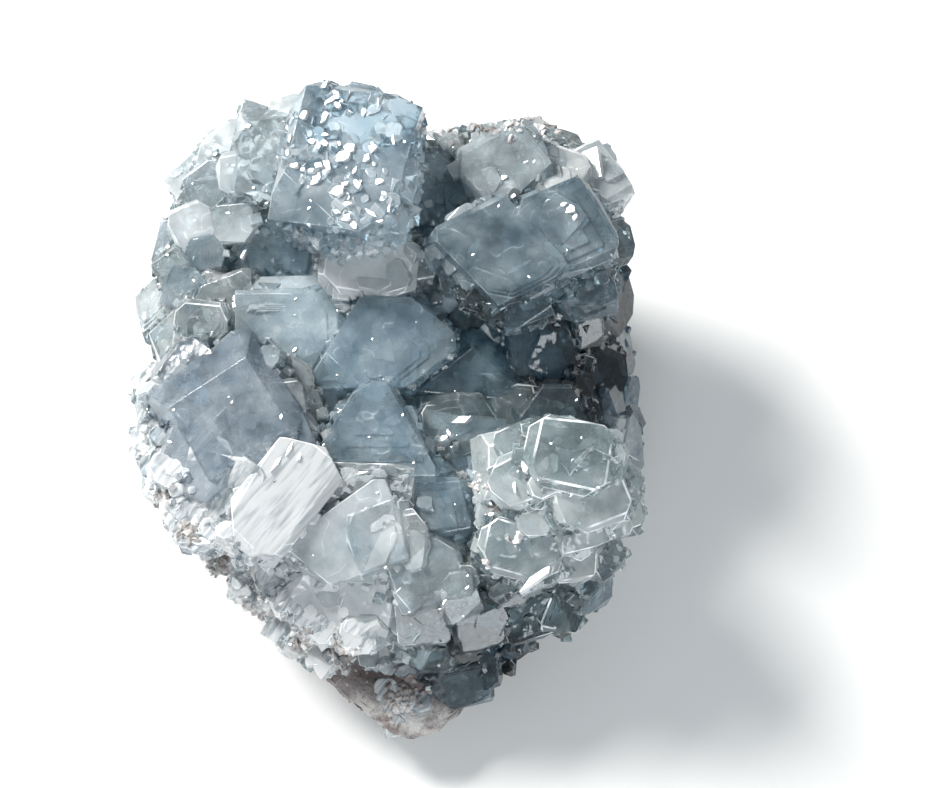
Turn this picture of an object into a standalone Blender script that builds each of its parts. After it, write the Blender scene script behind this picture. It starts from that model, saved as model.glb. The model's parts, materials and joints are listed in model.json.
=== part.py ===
"""Celestite cluster: a crust of grey-blue crystals grown on a broken piece of pale geode wall.

The specimen rests on a small flat spot under the rock, which is the world origin. It is about 63 mm wide (X),
73 mm from front to back (Y) and 43 mm high (Z). Lengths in the tables are millimetres; angles are degrees.
"""

import math
import random
from collections import namedtuple

import bmesh
import bpy
from mathutils import Matrix, Quaternion, Vector, noise

MM = 0.001

# Places on the specimen are given as they are seen from the front, looking down steeply: u to the right and
# v up across that view, and the height z above the surface it rests on.
VIEW_ELEVATION = math.radians(68.0)
VIEW_DISTANCE = 300.0
VIEW_CENTRE = Vector((0.0, -2.0, 20.0))
VIEW_RIGHT = Vector((1.0, 0.0, 0.0))
VIEW_UP = Vector((0.0, math.sin(VIEW_ELEVATION), math.cos(VIEW_ELEVATION)))
VIEW_BACK = Vector((0.0, -math.cos(VIEW_ELEVATION), math.sin(VIEW_ELEVATION)))
VIEW_EYE = VIEW_CENTRE + VIEW_RIGHT * 9.6 + VIEW_UP * 1.9 + VIEW_BACK * VIEW_DISTANCE

# Sizes of the whole
SOCKET_GAP = 0.42
CRUST_DEPTH = 5.5
CRYSTAL_RISE = 3.3
SMOOTHING = 4.0
HABIT_DRIFT = 9.0
ROCK_FLOOR = -0.5
ROCK_RELIEF = 2.0
ROCK_GRAIN = 0.8
CRUST_RELIEF = 0.5
WORN_PASSES = 2

HABIT_SEED = 5

# Small crystals between the named ones
FILLER_SEED = 11
FILLER_SPACING = 4.3
FILLER_SIZE = (3.2, 5.4)
FILLER_LOWEST = 6.5
FILLER_UNDERSIDE = -0.25
FILLER_HABITS = ("roof", "point", "rhomb", "lens", "block")

# Widest outline of the crust, anticlockwise from the right: x, y and the height where it is widest.
CRUST_RIM = (
    (28.0, -4.0, 10), (28.0, 3.0, 10), (27.5, 12.0, 12), (26.0, 22.0, 20), (20.0, 29.5, 22), (9.0, 30.0, 24),
    (-1.0, 29.5, 24), (-11.0, 31.0, 24), (-19.5, 29.0, 22), (-26.0, 23.0, 18), (-28.5, 13.0, 15),
    (-28.0, 4.0, 14), (-28.0, -2.0, 13), (-26.0, -8.0, 15), (-21.0, -14.0, 15), (-15.0, -19.5, 14),
    (-9.0, -25.0, 13), (-3.0, -28.5, 12), (4.0, -32.5, 9), (10.0, -34.0, 8), (13.5, -27.5, 8),
    (20.0, -25.5, 9), (25.5, -18.0, 12), (28.0, -11.0, 14),
)

# Widest outline of the rock: it passes the crust at the lower left, at the front and at the back edge.
ROCK_RIM = (
    (24.0, -3.0, 9), (24.5, 5.0, 9), (23.5, 13.0, 11), (21.5, 21.0, 15), (18.0, 30.0, 22), (12.6, 34.2, 24),
    (8.6, 34.8, 24), (3.5, 33.6, 24), (-4.0, 29.0, 21), (-14.0, 27.0, 19), (-21.5, 21.0, 15), (-24.5, 13.0, 12),
    (-25.5, 4.0, 12), (-28.0, -2.5, 13), (-28.8, -6.5, 14), (-28.0, -10.5, 15), (-22.4, -17.0, 14),
    (-16.8, -22.4, 13), (-13.0, -26.0, 12), (-6.0, -33.8, 10), (-1.2, -39.0, 8), (3.0, -40.6, 7),
    (7.2, -39.2, 7), (11.0, -33.0, 8), (14.0, -27.0, 8), (17.4, -22.0, 8), (21.0, -16.0, 8), (24.0, -10.0, 8),
)

# Cuts that give a block its faces: the way the face looks (degrees anticlockwise from the block's own right),
# how far it is turned up (0 is a side face, 90 the top), and the share of the corner that it takes off.
HABITS = {
    "block": (
        (25, 36, 0.34), (105, 48, 0.36), (195, 38, 0.40), (288, 50, 0.34), (58, 6, 0.20), (238, 0, 0.20),
        (150, 20, 0.22),
    ),
    "roof": (
        (0, 40, 0.95), (180, 44, 0.95), (90, 55, 0.45), (270, 60, 0.40), (45, 0, 0.15), (225, 0, 0.15),
    ),
    "point": (
        (12, 48, 0.85), (100, 44, 0.92), (190, 50, 0.85), (280, 46, 0.92), (55, 0, 0.18), (235, 0, 0.18),
    ),
    "rhomb": (
        (38, 0, 0.30), (142, 0, 0.33), (218, 0, 0.30), (322, 0, 0.33), (95, 50, 0.28), (265, 44, 0.30),
    ),
    "lens": (
        (40, 10, 0.30), (140, 8, 0.28), (222, 12, 0.30), (318, 8, 0.28), (0, 45, 0.20), (90, 48, 0.22),
        (180, 42, 0.20), (270, 50, 0.24),
    ),
    "slab": (
        (90, 42, 0.18), (270, 40, 0.22), (0, 30, 0.10), (180, 35, 0.12),
    ),
}

Crystal = namedtuple("Crystal", "u v z width length depth tilt toward turn habit")

# Each crystal's top face: where its middle is, the block's width, length and depth, how far the face is tilted
# and toward which side (0 right, 90 back, 180 left, 270 front), its turn about its own axis, and its cuts.
CRYSTALS = (
    # The etched block at the back left, the highest
    Crystal(-5.6, 30.6, 41.5, 13.8, 16.4, 12.0, 9, 255, -13, (
        (238, 60, 0.44), (40, 52, 0.34), (318, 5, 0.22), (180, 35, 0.14), (95, 40, 0.14), (135, 0, 0.14))),
    # Pale blocks to its left
    Crystal(-15.4, 31.0, 33.0, 7.5, 10.0, 9.0, 18, 205, -15, "block"),
    Crystal(-16.6, 25.6, 30.0, 5.5, 4.8, 7.0, 28, 250, 20, "block"),
    Crystal(-22.2, 24.6, 28.0, 6.5, 5.6, 8.0, 22, 195, 10, "lens"),
    Crystal(-25.6, 20.0, 24.0, 6.5, 7.0, 8.0, 30, 190, -10, "lens"),
    Crystal(-24.4, 28.4, 26.0, 5.0, 5.0, 8.0, 34, 150, 30, "block"),
    Crystal(-20.2, 30.0, 29.5, 6.0, 5.4, 8.0, 20, 170, 15, "lens"),
    Crystal(-20.4, 33.2, 27.0, 5.0, 5.0, 8.0, 42, 130, 5, "block"),
    Crystal(-16.6, 34.6, 29.0, 5.6, 5.0, 8.0, 38, 118, 25, "rhomb"),
    Crystal(-12.8, 36.0, 32.0, 5.2, 5.2, 9.0, 24, 118, -8, "block"),
    # Glassy crystal in the shade below them, and its neighbours
    Crystal(-14.4, 19.2, 27.0, 8.0, 8.5, 10.0, 36, 262, 8, (
        (60, 50, 0.55), (125, 46, 0.60), (200, 30, 0.25), (340, 25, 0.22), (270, 40, 0.20))),
    Crystal(-19.8, 17.8, 24.5, 4.6, 6.2, 8.0, 30, 215, 30, "roof"),
    Crystal(-22.4, 14.2, 24.5, 4.6, 4.2, 7.0, 25, 225, 12, "block"),
    # Rounded block in front of the etched one
    Crystal(-2.6, 17.8, 30.0, 10.5, 7.2, 9.0, 16, 268, -6, "lens"),
    Crystal(3.0, 18.2, 27.0, 4.2, 5.6, 8.0, 20, 300, 20, "rhomb"),
    # Lilac face with the narrow band behind its ridge
    Crystal(-11.8, 8.6, 26.5, 12.2, 10.3, 10.0, 22, 262, 0, (
        (33, 10, 0.30), (329, 12, 0.40), (232, 10, 0.54), (90, 40, 0.08))),
    Crystal(-10.8, 14.2, 27.2, 11.5, 3.8, 9.0, 16, 85, 3, "slab"),
    Crystal(-20.2, 13.8, 26.0, 7.4, 2.8, 8.0, 28, 240, 14, "slab"),
    # Large striated face in the middle
    Crystal(-0.7, 8.2, 28.0, 15.6, 9.6, 11.0, 14, 272, 0, (
        (51, 12, 0.36), (308, 10, 0.38), (149, 6, 0.48), (226, 62, 0.42), (92, 40, 0.10))),
    # Deep blue pyramid to its right
    Crystal(10.2, 5.0, 25.0, 12.5, 9.8, 10.0, 12, 275, -3, (
        (50, 42, 0.80), (132, 42, 0.76), (268, 40, 0.42), (318, 20, 0.25), (215, 20, 0.25))),
    # The deepest recess
    Crystal(4.6, 13.2, 21.0, 3.6, 4.2, 8.0, 12, 280, 20, "point"),
    Crystal(7.8, 11.6, 15.5, 5.0, 5.0, 6.0, 26, 20, 15, "point"),
    Crystal(10.8, 12.0, 16.5, 4.2, 5.2, 7.0, 32, 190, 40, "block"),
    # Two big tabular crystals at the right
    Crystal(13.2, 19.4, 37.5, 13.6, 10.6, 11.0, 11, 262, 27, (
        (16, 6, 0.46), (196, 6, 0.46), (290, 8, 0.14), (232, 78, 0.40), (90, 45, 0.12), (150, 20, 0.22))),
    Crystal(11.4, 14.2, 34.0, 4.6, 3.8, 8.0, 20, 250, -20, "rhomb"),
    Crystal(15.6, 13.0, 34.0, 5.2, 4.2, 8.0, 20, 265, 20, "block"),
    Crystal(21.6, 21.9, 37.0, 9.0, 9.8, 10.0, 16, 315, 27, (
        (5, 40, 0.22), (45, 8, 0.16), (270, 50, 0.20), (135, 0, 0.12), (315, 0, 0.16))),
    # Pale faces behind them
    Crystal(13.6, 29.4, 35.0, 10.0, 7.8, 10.0, 15, 235, 18, "block"),
    Crystal(20.4, 29.0, 34.0, 6.6, 7.0, 9.0, 14, 50, -20, "lens"),
    # Dark clear prisms in the gap beside the etched block
    Crystal(5.0, 23.2, 29.0, 6.6, 9.4, 11.0, 28, 225, 35, "roof"),
    Crystal(4.6, 27.8, 31.0, 5.6, 5.2, 8.0, 28, 250, 15, "rhomb"),
    Crystal(8.4, 26.2, 32.0, 4.2, 6.6, 9.0, 30, 205, -10, "block"),
    Crystal(2.6, 20.4, 26.0, 4.0, 4.0, 7.0, 22, 220, 30, "point"),
    # Back edge
    Crystal(4.8, 32.0, 27.0, 5.0, 4.0, 7.0, 24, 120, 10, "block"),
    Crystal(9.0, 32.2, 28.5, 5.6, 4.6, 8.0, 20, 85, -12, "lens"),
    Crystal(13.2, 33.4, 29.0, 6.0, 4.4, 8.0, 26, 78, 6, "block"),
    Crystal(17.4, 33.6, 29.0, 5.2, 5.0, 8.0, 34, 60, 20, "rhomb"),
    Crystal(21.0, 32.2, 29.0, 5.2, 4.8, 8.0, 36, 55, -10, "block"),
    Crystal(6.2, 30.8, 30.0, 5.0, 4.4, 8.0, 20, 210, 25, "lens"),
    # Bright face and dark crystals at the right shoulder
    Crystal(25.2, 28.8, 31.0, 4.8, 7.6, 9.0, 20, 30, 35, "slab"),
    Crystal(25.0, 25.2, 29.5, 5.0, 5.6, 9.0, 32, 330, 30, "roof"),
    Crystal(27.6, 20.4, 24.0, 4.2, 5.6, 9.0, 44, 345, 25, "rhomb"),
    Crystal(23.0, 14.4, 30.0, 7.6, 6.6, 10.0, 30, 290, 12, "block"),
    # Dark blocks under the two big ones
    Crystal(17.8, 8.4, 25.5, 7.6, 7.6, 10.0, 26, 265, -3, "block"),
    Crystal(13.6, 10.1, 23.0, 4.6, 6.6, 8.0, 30, 225, -20, "rhomb"),
    Crystal(22.4, 10.0, 23.5, 4.9, 4.4, 8.0, 35, 285, 8, "block"),
    Crystal(22.6, 6.8, 20.5, 4.2, 4.2, 7.0, 40, 300, 20, "point"),
    # Steep right side
    Crystal(27.0, 13.6, 19.5, 8.0, 9.0, 9.0, 56, 350, 0, "rhomb"),
    Crystal(27.6, 8.6, 15.0, 8.0, 9.0, 9.0, 62, 5, 20, "block"),
    Crystal(25.2, 4.0, 17.5, 7.6, 8.0, 9.0, 48, 325, -15, "rhomb"),
    Crystal(28.4, 0.0, 13.5, 7.4, 7.8, 8.0, 56, 0, 30, "block"),
    Crystal(24.0, 0.8, 20.0, 5.0, 6.0, 8.0, 40, 335, 10, "roof"),
    Crystal(28.8, -4.8, 14.0, 7.0, 7.0, 8.0, 58, 350, 15, "lens"),
    # Low crystals right of the middle
    Crystal(19.9, -0.6, 25.0, 8.2, 5.8, 9.0, 26, 272, 0, (
        (24, 6, 0.48), (144, 6, 0.46), (90, 45, 0.10), (270, 50, 0.18))),
    Crystal(15.0, -0.2, 23.5, 6.2, 5.2, 8.0, 20, 262, -5, "block"),
    Crystal(8.0, -1.9, 23.5, 9.6, 6.2, 9.0, 22, 270, 3, "block"),
    Crystal(6.2, -6.4, 18.0, 5.2, 5.2, 7.0, 26, 320, 12, "point"),
    # Cluster of stubby clear crystals at the right front
    Crystal(12.5, -6.4, 30.0, 5.6, 6.6, 9.0, 22, 205, 5, "roof"),
    Crystal(15.4, -8.4, 31.0, 5.6, 5.2, 8.0, 26, 255, 20, "rhomb"),
    Crystal(16.3, -4.2, 31.0, 5.6, 6.0, 9.0, 15, 120, 30, "lens"),
    Crystal(21.7, -5.4, 34.0, 9.2, 7.2, 10.0, 12, 295, -12, "lens"),
    Crystal(24.1, -10.1, 31.5, 8.2, 7.6, 10.0, 24, 300, 20, "lens"),
    Crystal(24.4, -14.1, 27.0, 8.2, 3.8, 8.0, 36, 295, 22, "slab"),
    Crystal(28.8, -8.2, 23.5, 4.8, 5.8, 8.0, 46, 5, 0, "lens"),
    Crystal(28.6, -11.8, 20.5, 4.4, 5.8, 8.0, 50, 345, 20, "rhomb"),
    Crystal(19.0, -11.4, 29.0, 5.2, 5.2, 8.0, 18, 270, 40, "block"),
    Crystal(13.8, -12.2, 27.0, 5.6, 4.8, 8.0, 22, 250, -10, "lens"),
    Crystal(19.6, -14.2, 27.0, 4.8, 4.4, 7.0, 26, 280, 15, "rhomb"),
    # Pale rounded crystal and the narrow bright face in front of the cluster
    Crystal(15.6, -17.0, 26.0, 8.6, 5.4, 9.0, 26, 270, -14, "lens"),
    Crystal(18.1, -20.0, 23.0, 5.2, 2.2, 7.0, 32, 285, 24, "slab"),
    Crystal(12.6, -20.2, 22.0, 4.8, 5.2, 8.0, 35, 265, 25, "point"),
    Crystal(22.2, -18.0, 22.5, 5.6, 5.2, 8.0, 40, 305, 10, "lens"),
    Crystal(25.8, -17.4, 19.0, 4.8, 5.2, 8.0, 46, 320, 30, "block"),
    # Fin-shaped face and the pale ledges in front of it
    Crystal(-1.4, -2.6, 28.0, 12.0, 10.6, 11.0, 16, 266, 0, (
        (30, 6, 0.58), (148, 8, 0.44), (121, 12, 0.37), (30, 50, 0.50), (270, 52, 0.14), (215, 20, 0.16))),
    Crystal(-2.8, -8.9, 26.0, 9.8, 3.6, 8.0, 30, 268, -2, "slab"),
    Crystal(-6.0, -14.6, 25.0, 12.8, 10.7, 11.0, 20, 262, 0, (
        (125, 8, 0.70), (20, 10, 0.19), (292, 30, 0.34), (337, 20, 0.28), (230, 20, 0.40), (125, 55, 0.62))),
    Crystal(4.3, -19.6, 22.5, 7.6, 7.6, 9.0, 24, 262, 12, "lens"),
    Crystal(5.3, -11.5, 24.0, 7.6, 5.6, 9.0, 22, 275, -4, "block"),
    Crystal(1.6, -15.6, 24.5, 4.8, 5.6, 8.0, 26, 275, 8, "rhomb"),
    Crystal(-8.4, 1.2, 22.0, 6.2, 5.6, 8.0, 20, 280, 0, "block"),
    Crystal(1.4, 2.4, 21.5, 7.0, 4.0, 6.0, 10, 90, 0, "slab"),
    # Veiled fibrous crystal
    Crystal(-12.5, -9.8, 28.0, 15.5, 7.6, 9.0, 18, 290, 53, "lens"),
    # Large smooth mass at the left
    Crystal(-19.8, 0.0, 29.8, 13.4, 14.6, 13.0, 12, 235, 32, (
        (90, 58, 0.50), (270, 50, 0.26), (180, 34, 0.26), (0, 50, 0.28), (315, 10, 0.20), (225, 12, 0.24))),
    Crystal(-15.2, -2.0, 29.4, 8.4, 12.0, 10.0, 16, 300, 24, "block"),
    Crystal(-20.8, -10.4, 26.2, 12.6, 10.4, 10.0, 34, 240, -35, "block"),
    Crystal(-26.6, -5.0, 23.5, 7.4, 9.0, 9.0, 42, 200, 12, "block"),
    Crystal(-12.0, 3.4, 27.0, 4.6, 5.2, 8.0, 20, 330, 30, "rhomb"),
    Crystal(-10.6, -0.6, 26.5, 5.2, 4.8, 8.0, 20, 320, 5, "block"),
    Crystal(-17.2, 6.6, 30.0, 5.2, 7.2, 9.0, 15, 60, 20, "roof"),
    Crystal(-12.6, -3.8, 28.0, 5.6, 5.2, 8.0, 15, 290, 25, "lens"),
    # Left edge
    Crystal(-29.4, 2.2, 17.0, 5.2, 7.0, 8.0, 55, 178, 0, "block"),
    Crystal(-29.2, -4.2, 16.0, 4.8, 7.0, 8.0, 58, 190, 12, "rhomb"),
    Crystal(-28.6, 12.8, 20.0, 5.2, 7.0, 8.0, 46, 175, 15, "slab"),
    Crystal(-25.0, 14.2, 24.5, 5.6, 5.6, 8.0, 30, 205, 40, "block"),
    Crystal(-26.4, 8.6, 24.0, 5.6, 6.2, 8.0, 32, 190, 10, "block"),
    Crystal(-22.8, 10.4, 27.0, 5.2, 4.2, 7.0, 18, 210, -10, "rhomb"),
    # Pale granular face over the rock at the front
    Crystal(-5.4, -23.4, 18.5, 12.0, 8.6, 9.0, 34, 258, -12, "lens"),
    Crystal(-12.2, -21.0, 17.5, 6.2, 7.0, 8.0, 45, 238, 30, "slab"),
    Crystal(0.6, -25.0, 17.0, 5.0, 4.6, 8.0, 38, 262, 10, "block"),
    # Clear stubby crystals at the front right
    Crystal(3.9, -25.4, 19.0, 4.9, 4.9, 9.0, 34, 268, 5, (
        (45, 0, 0.10), (135, 0, 0.10), (225, 0, 0.12), (315, 0, 0.12), (270, 45, 0.12))),
    Crystal(5.4, -29.6, 14.0, 4.8, 4.4, 8.0, 46, 278, 0, "lens"),
    Crystal(7.8, -22.8, 21.0, 4.4, 4.2, 8.0, 32, 280, 20, "block"),
    Crystal(10.6, -25.8, 18.0, 5.6, 6.2, 9.0, 36, 290, 15, "lens"),
    Crystal(13.0, -30.6, 12.0, 3.4, 6.2, 5.8, 50, 318, 20, "roof"),
    Crystal(9.2, -33.2, 9.8, 6.2, 5.6, 5.2, 50, 288, 5, "block"),
    Crystal(16.8, -25.2, 15.0, 6.6, 5.8, 9.0, 44, 288, 15, "lens"),
    Crystal(21.2, -24.0, 14.5, 6.2, 6.2, 9.0, 48, 310, -15, "lens"),
    Crystal(24.4, -21.4, 14.5, 5.2, 5.4, 8.0, 50, 322, 12, "block"),
)


def seen_at(u, v, z):
    """The point at height z that is seen at (u, v), in millimetres."""
    sight = VIEW_CENTRE + VIEW_RIGHT * u + VIEW_UP * v - VIEW_EYE
    return VIEW_EYE + sight * ((z - VIEW_EYE.z) / sight.z)


def facing(tilt, toward):
    """The unit direction of a face that is tilted from the level toward one side."""
    lean = math.sin(math.radians(tilt))
    side = math.radians(toward)
    return Vector((lean * math.cos(side), lean * math.sin(side), math.cos(math.radians(tilt))))


def cut_block(solid, bearing, rise, share, half_width, half_length):
    """Takes off the corner of a block that looks along one direction; a share of 1 reaches its top centre."""
    normal = facing(90 - rise, bearing)
    reach = abs(normal.x) * half_width + abs(normal.y) * half_length
    geometry = solid.verts[:] + solid.edges[:] + solid.faces[:]
    bmesh.ops.bisect_plane(
        solid, geom=geometry, plane_co=normal * reach * (1 - share), plane_no=normal, clear_outer=True
    )
    bmesh.ops.holes_fill(solid, edges=[edge for edge in solid.edges if edge.is_boundary])


def drifted(habit, chance):
    """A habit's cuts, each turned and deepened a little, so that no two crystals are alike."""
    return [
        (
            bearing + chance.uniform(-HABIT_DRIFT, HABIT_DRIFT),
            max(0.0, rise + chance.uniform(-HABIT_DRIFT, HABIT_DRIFT)),
            share * chance.uniform(0.75, 1.2),
        )
        for bearing, rise, share in HABITS[habit]
    ]


def crystal_solid(place, way, turn, size, cuts):
    """One crystal as a closed bmesh: a block cut to its faces, its top face at its place and looking one way."""
    width, length, depth = size
    solid = bmesh.new()
    bmesh.ops.create_cube(solid, size=1.0)
    bmesh.ops.scale(solid, vec=size, verts=solid.verts)
    bmesh.ops.translate(solid, vec=(0, 0, -depth / 2), verts=solid.verts)
    for bearing, rise, share in cuts:
        cut_block(solid, bearing, rise, share, width / 2, length / 2)
    up = Vector((0, 0, 1))
    rotation = up.rotation_difference(way) @ Quaternion(up, math.radians(turn))
    matrix = Matrix.Translation(place) @ rotation.to_matrix().to_4x4()
    bmesh.ops.transform(solid, matrix=Matrix.Scale(MM, 4) @ matrix, verts=solid.verts)
    return solid


def named_crystals():
    """The crystals of the table as closed bmeshes."""
    chance = random.Random(HABIT_SEED)
    solids = []
    for each in CRYSTALS:
        cuts = drifted(each.habit, chance) if isinstance(each.habit, str) else each.habit
        size = (each.width, each.length, each.depth)
        place = seen_at(each.u, each.v, each.z)
        solids.append(crystal_solid(place, facing(each.tilt, each.toward), each.turn, size, cuts))
    return solids


# Ground that the crystals stand on
ANCHORS = [(seen_at(crystal.u, crystal.v, crystal.z), crystal.z) for crystal in CRYSTALS]


def ground(x, y):
    """Height of the crust between the crystals: a smooth surface a little below their tops."""
    total = 0.0
    weight = 0.0
    for anchor, top in ANCHORS:
        near = math.exp(-((x - anchor.x) ** 2 + (y - anchor.y) ** 2) / (2 * SMOOTHING**2)) + 1e-9
        total += near * (top - CRYSTAL_RISE)
        weight += near
    return total / weight


def rim_at(rim, bearing):
    """Radius and height of an outline at one bearing."""
    marks = sorted((math.atan2(y, x) % math.tau, math.hypot(x, y), z) for x, y, z in rim)
    marks = [(marks[-1][0] - math.tau,) + marks[-1][1:]] + marks + [(marks[0][0] + math.tau,) + marks[0][1:]]
    for (start, radius, height), (end, next_radius, next_height) in zip(marks, marks[1:]):
        if start <= bearing <= end:
            share = (bearing - start) / (end - start)
            return radius + (next_radius - radius) * share, height + (next_height - height) * share
    raise ValueError("bearing outside the outline")


def lumpy_body(rim, top, bottom, fine_below, shoulder, keel, relief, grain):
    """A closed lumpy body with the given outline, top and bottom; shoulder and keel below 1 make it boxier."""
    body = bmesh.new()
    bmesh.ops.create_icosphere(body, subdivisions=3, radius=1.0)
    if fine_below is not None:
        shown = [edge for edge in body.edges if min(vert.co.z for vert in edge.verts) < fine_below]
        bmesh.ops.subdivide_edges(body, edges=shown, cuts=1, use_grid_fill=True)
        bmesh.ops.triangulate(body, faces=body.faces)
    for vert in body.verts:
        direction = vert.co.normalized()
        level = math.hypot(direction.x, direction.y)
        radius, height = rim_at(rim, math.atan2(direction.y, direction.x) % math.tau)
        power = shoulder if direction.z > 0 else keel
        spread = radius * level**power
        length = max(level, 1e-6)
        x = spread * direction.x / length
        y = spread * direction.y / length
        end = top(x, y) if direction.z > 0 else bottom
        z = height + (end - height) * abs(direction.z) ** power
        place = Vector((x, y, z))
        lump = noise.noise(place * 0.16) * relief + noise.noise(place * 0.62) * grain
        vert.co = (place + direction * lump) * MM
    for _ in range(WORN_PASSES):
        bmesh.ops.smooth_vert(
            body, verts=body.verts, factor=0.5, use_axis_x=True, use_axis_y=True, use_axis_z=True
        )
    return body


def swollen(body, distance):
    """A copy of a body, larger by a distance on every side."""
    copy = body.copy()
    bmesh.ops.recalc_face_normals(copy, faces=copy.faces)
    if copy.calc_volume(signed=True) < 0:
        bmesh.ops.reverse_faces(copy, faces=copy.faces)
    copy.normal_update()
    for vert in copy.verts:
        vert.co += vert.normal * distance * MM
    return copy


def sit_flat(body):
    """Cuts a body level at the height of the surface it rests on."""
    geometry = body.verts[:] + body.edges[:] + body.faces[:]
    bmesh.ops.bisect_plane(body, geom=geometry, plane_co=(0, 0, 0), plane_no=(0, 0, -1), clear_outer=True)
    bmesh.ops.holes_fill(body, edges=[edge for edge in body.edges if edge.is_boundary])


def small_crystals(crust):
    """Small crystals on the open stretches of the crust, standing off its surface."""
    chance = random.Random(FILLER_SEED)
    faces = list(crust.faces)
    chance.shuffle(faces)
    taken = [(anchor, 0.36 * (each.width + each.length)) for (anchor, _), each in zip(ANCHORS, CRYSTALS)]
    solids = []
    for face in faces:
        place = face.calc_center_median() / MM
        if face.normal.z < FILLER_UNDERSIDE or place.z < FILLER_LOWEST:
            continue
        if any((place - other).length < keep for other, keep in taken):
            continue
        taken.append((place, FILLER_SPACING))
        size = chance.uniform(*FILLER_SIZE)
        way = face.normal + Vector((chance.uniform(-0.4, 0.4), chance.uniform(-0.4, 0.4), 0.35))
        way.normalize()
        cuts = drifted(chance.choice(FILLER_HABITS), chance)
        shape = (size * chance.uniform(0.8, 1.2), size, size * 1.7)
        solids.append(crystal_solid(place + way * 0.45 * size, way, chance.uniform(0, 360), shape, cuts))
    return solids


def to_object(solid, name, collection):
    """A bmesh as an object in a collection."""
    bmesh.ops.recalc_face_normals(solid, faces=solid.faces)
    if solid.calc_volume(signed=True) < 0:
        bmesh.ops.reverse_faces(solid, faces=solid.faces)
    mesh = bpy.data.meshes.new(name)
    solid.to_mesh(mesh)
    solid.free()
    made = bpy.data.objects.new(name, mesh)
    collection.objects.link(made)
    return made


def apply_boolean(target, operation, collection=None, other=None):
    """Joins or cuts a target with another object or with a whole collection, and keeps the result."""
    change = target.modifiers.new(operation.lower(), "BOOLEAN")
    change.operation = operation
    change.solver = "EXACT"
    if collection:
        change.operand_type = "COLLECTION"
        change.collection = collection
    else:
        change.object = other
        change.use_self = True
    bpy.context.view_layer.update()
    evaluated = target.evaluated_get(bpy.context.evaluated_depsgraph_get())
    mesh = bpy.data.meshes.new_from_object(evaluated)
    target.modifiers.clear()
    target.data = mesh


def keep_largest(target):
    """Drops crumbs that a cut has left loose from the body."""
    solid = bmesh.new()
    solid.from_mesh(target.data)
    unseen = set(solid.verts)
    shells = []
    while unseen:
        shell = set()
        front = [unseen.pop()]
        while front:
            vert = front.pop()
            shell.add(vert)
            for edge in vert.link_edges:
                other = edge.other_vert(vert)
                if other in unseen:
                    unseen.discard(other)
                    front.append(other)
        shells.append(shell)
    largest = max(shells, key=len)
    loose = [vert for shell in shells if shell is not largest for vert in shell]
    bmesh.ops.delete(solid, geom=loose, context="VERTS")
    solid.to_mesh(target.data)
    solid.free()


def material(name, colour, roughness, transmission=0.0, ior=1.5):
    """A Principled material."""
    made = bpy.data.materials.new(name)
    made.use_nodes = True
    surface = made.node_tree.nodes["Principled BSDF"]
    surface.inputs["Base Color"].default_value = (*colour, 1.0)
    surface.inputs["Roughness"].default_value = roughness
    surface.inputs["Metallic"].default_value = 0.0
    surface.inputs["Transmission Weight"].default_value = transmission
    surface.inputs["IOR"].default_value = ior
    return made


def new_collection(name, helper=False):
    """A collection in the scene; a helper is not rendered."""
    made = bpy.data.collections.new(name)
    bpy.context.scene.collection.children.link(made)
    made.hide_render = helper
    return made


def build():
    """Makes the rock and the crust of crystals on it."""
    for old in list(bpy.data.objects):
        bpy.data.objects.remove(old, do_unlink=True)
    specimen = new_collection("celestite_cluster")
    helpers = new_collection("helpers", helper=True)

    rock_body = lumpy_body(
        ROCK_RIM, lambda x, y: ground(x, y) - CRUST_DEPTH, ROCK_FLOOR, 0.25, 0.62, 0.78, ROCK_RELIEF, ROCK_GRAIN
    )
    socket = swollen(rock_body, SOCKET_GAP)
    sit_flat(rock_body)
    rock = to_object(rock_body, "matrix", specimen)
    rock.data.materials.append(material("matrix_rock", (0.66, 0.62, 0.58), 0.9))

    crust_body = lumpy_body(CRUST_RIM, ground, 4.0, None, 0.6, 0.6, CRUST_RELIEF, 0.0)
    crust_body.normal_update()
    solids = named_crystals() + small_crystals(crust_body)
    crust = to_object(crust_body, "crystals", specimen)
    for solid in solids:
        helper = to_object(solid, "crystal", helpers)
        helper.hide_render = True
        helper.display_type = "WIRE"
    apply_boolean(crust, "UNION", collection=helpers)
    hollow = to_object(socket, "socket", helpers)
    hollow.hide_render = True
    hollow.display_type = "WIRE"
    apply_boolean(crust, "DIFFERENCE", other=hollow)
    keep_largest(crust)
    crust.data.materials.clear()
    crust.data.materials.append(material("celestite", (0.55, 0.66, 0.74), 0.12, 0.6, 1.62))
    for helper in list(helpers.objects):
        bpy.data.objects.remove(helper, do_unlink=True)
    bpy.data.collections.remove(helpers)


build()
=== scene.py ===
"""Looks of the celestite cluster: the crystals in full detail, their haze and sparkle, and the rock.

Lengths in the tables are millimetres and angles are degrees, as in the part's own source.
"""

import json
import math
import random
from collections import namedtuple

import bmesh
import bpy
from mathutils import Matrix, Quaternion, Vector, noise
from mathutils.bvhtree import BVHTree

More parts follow.
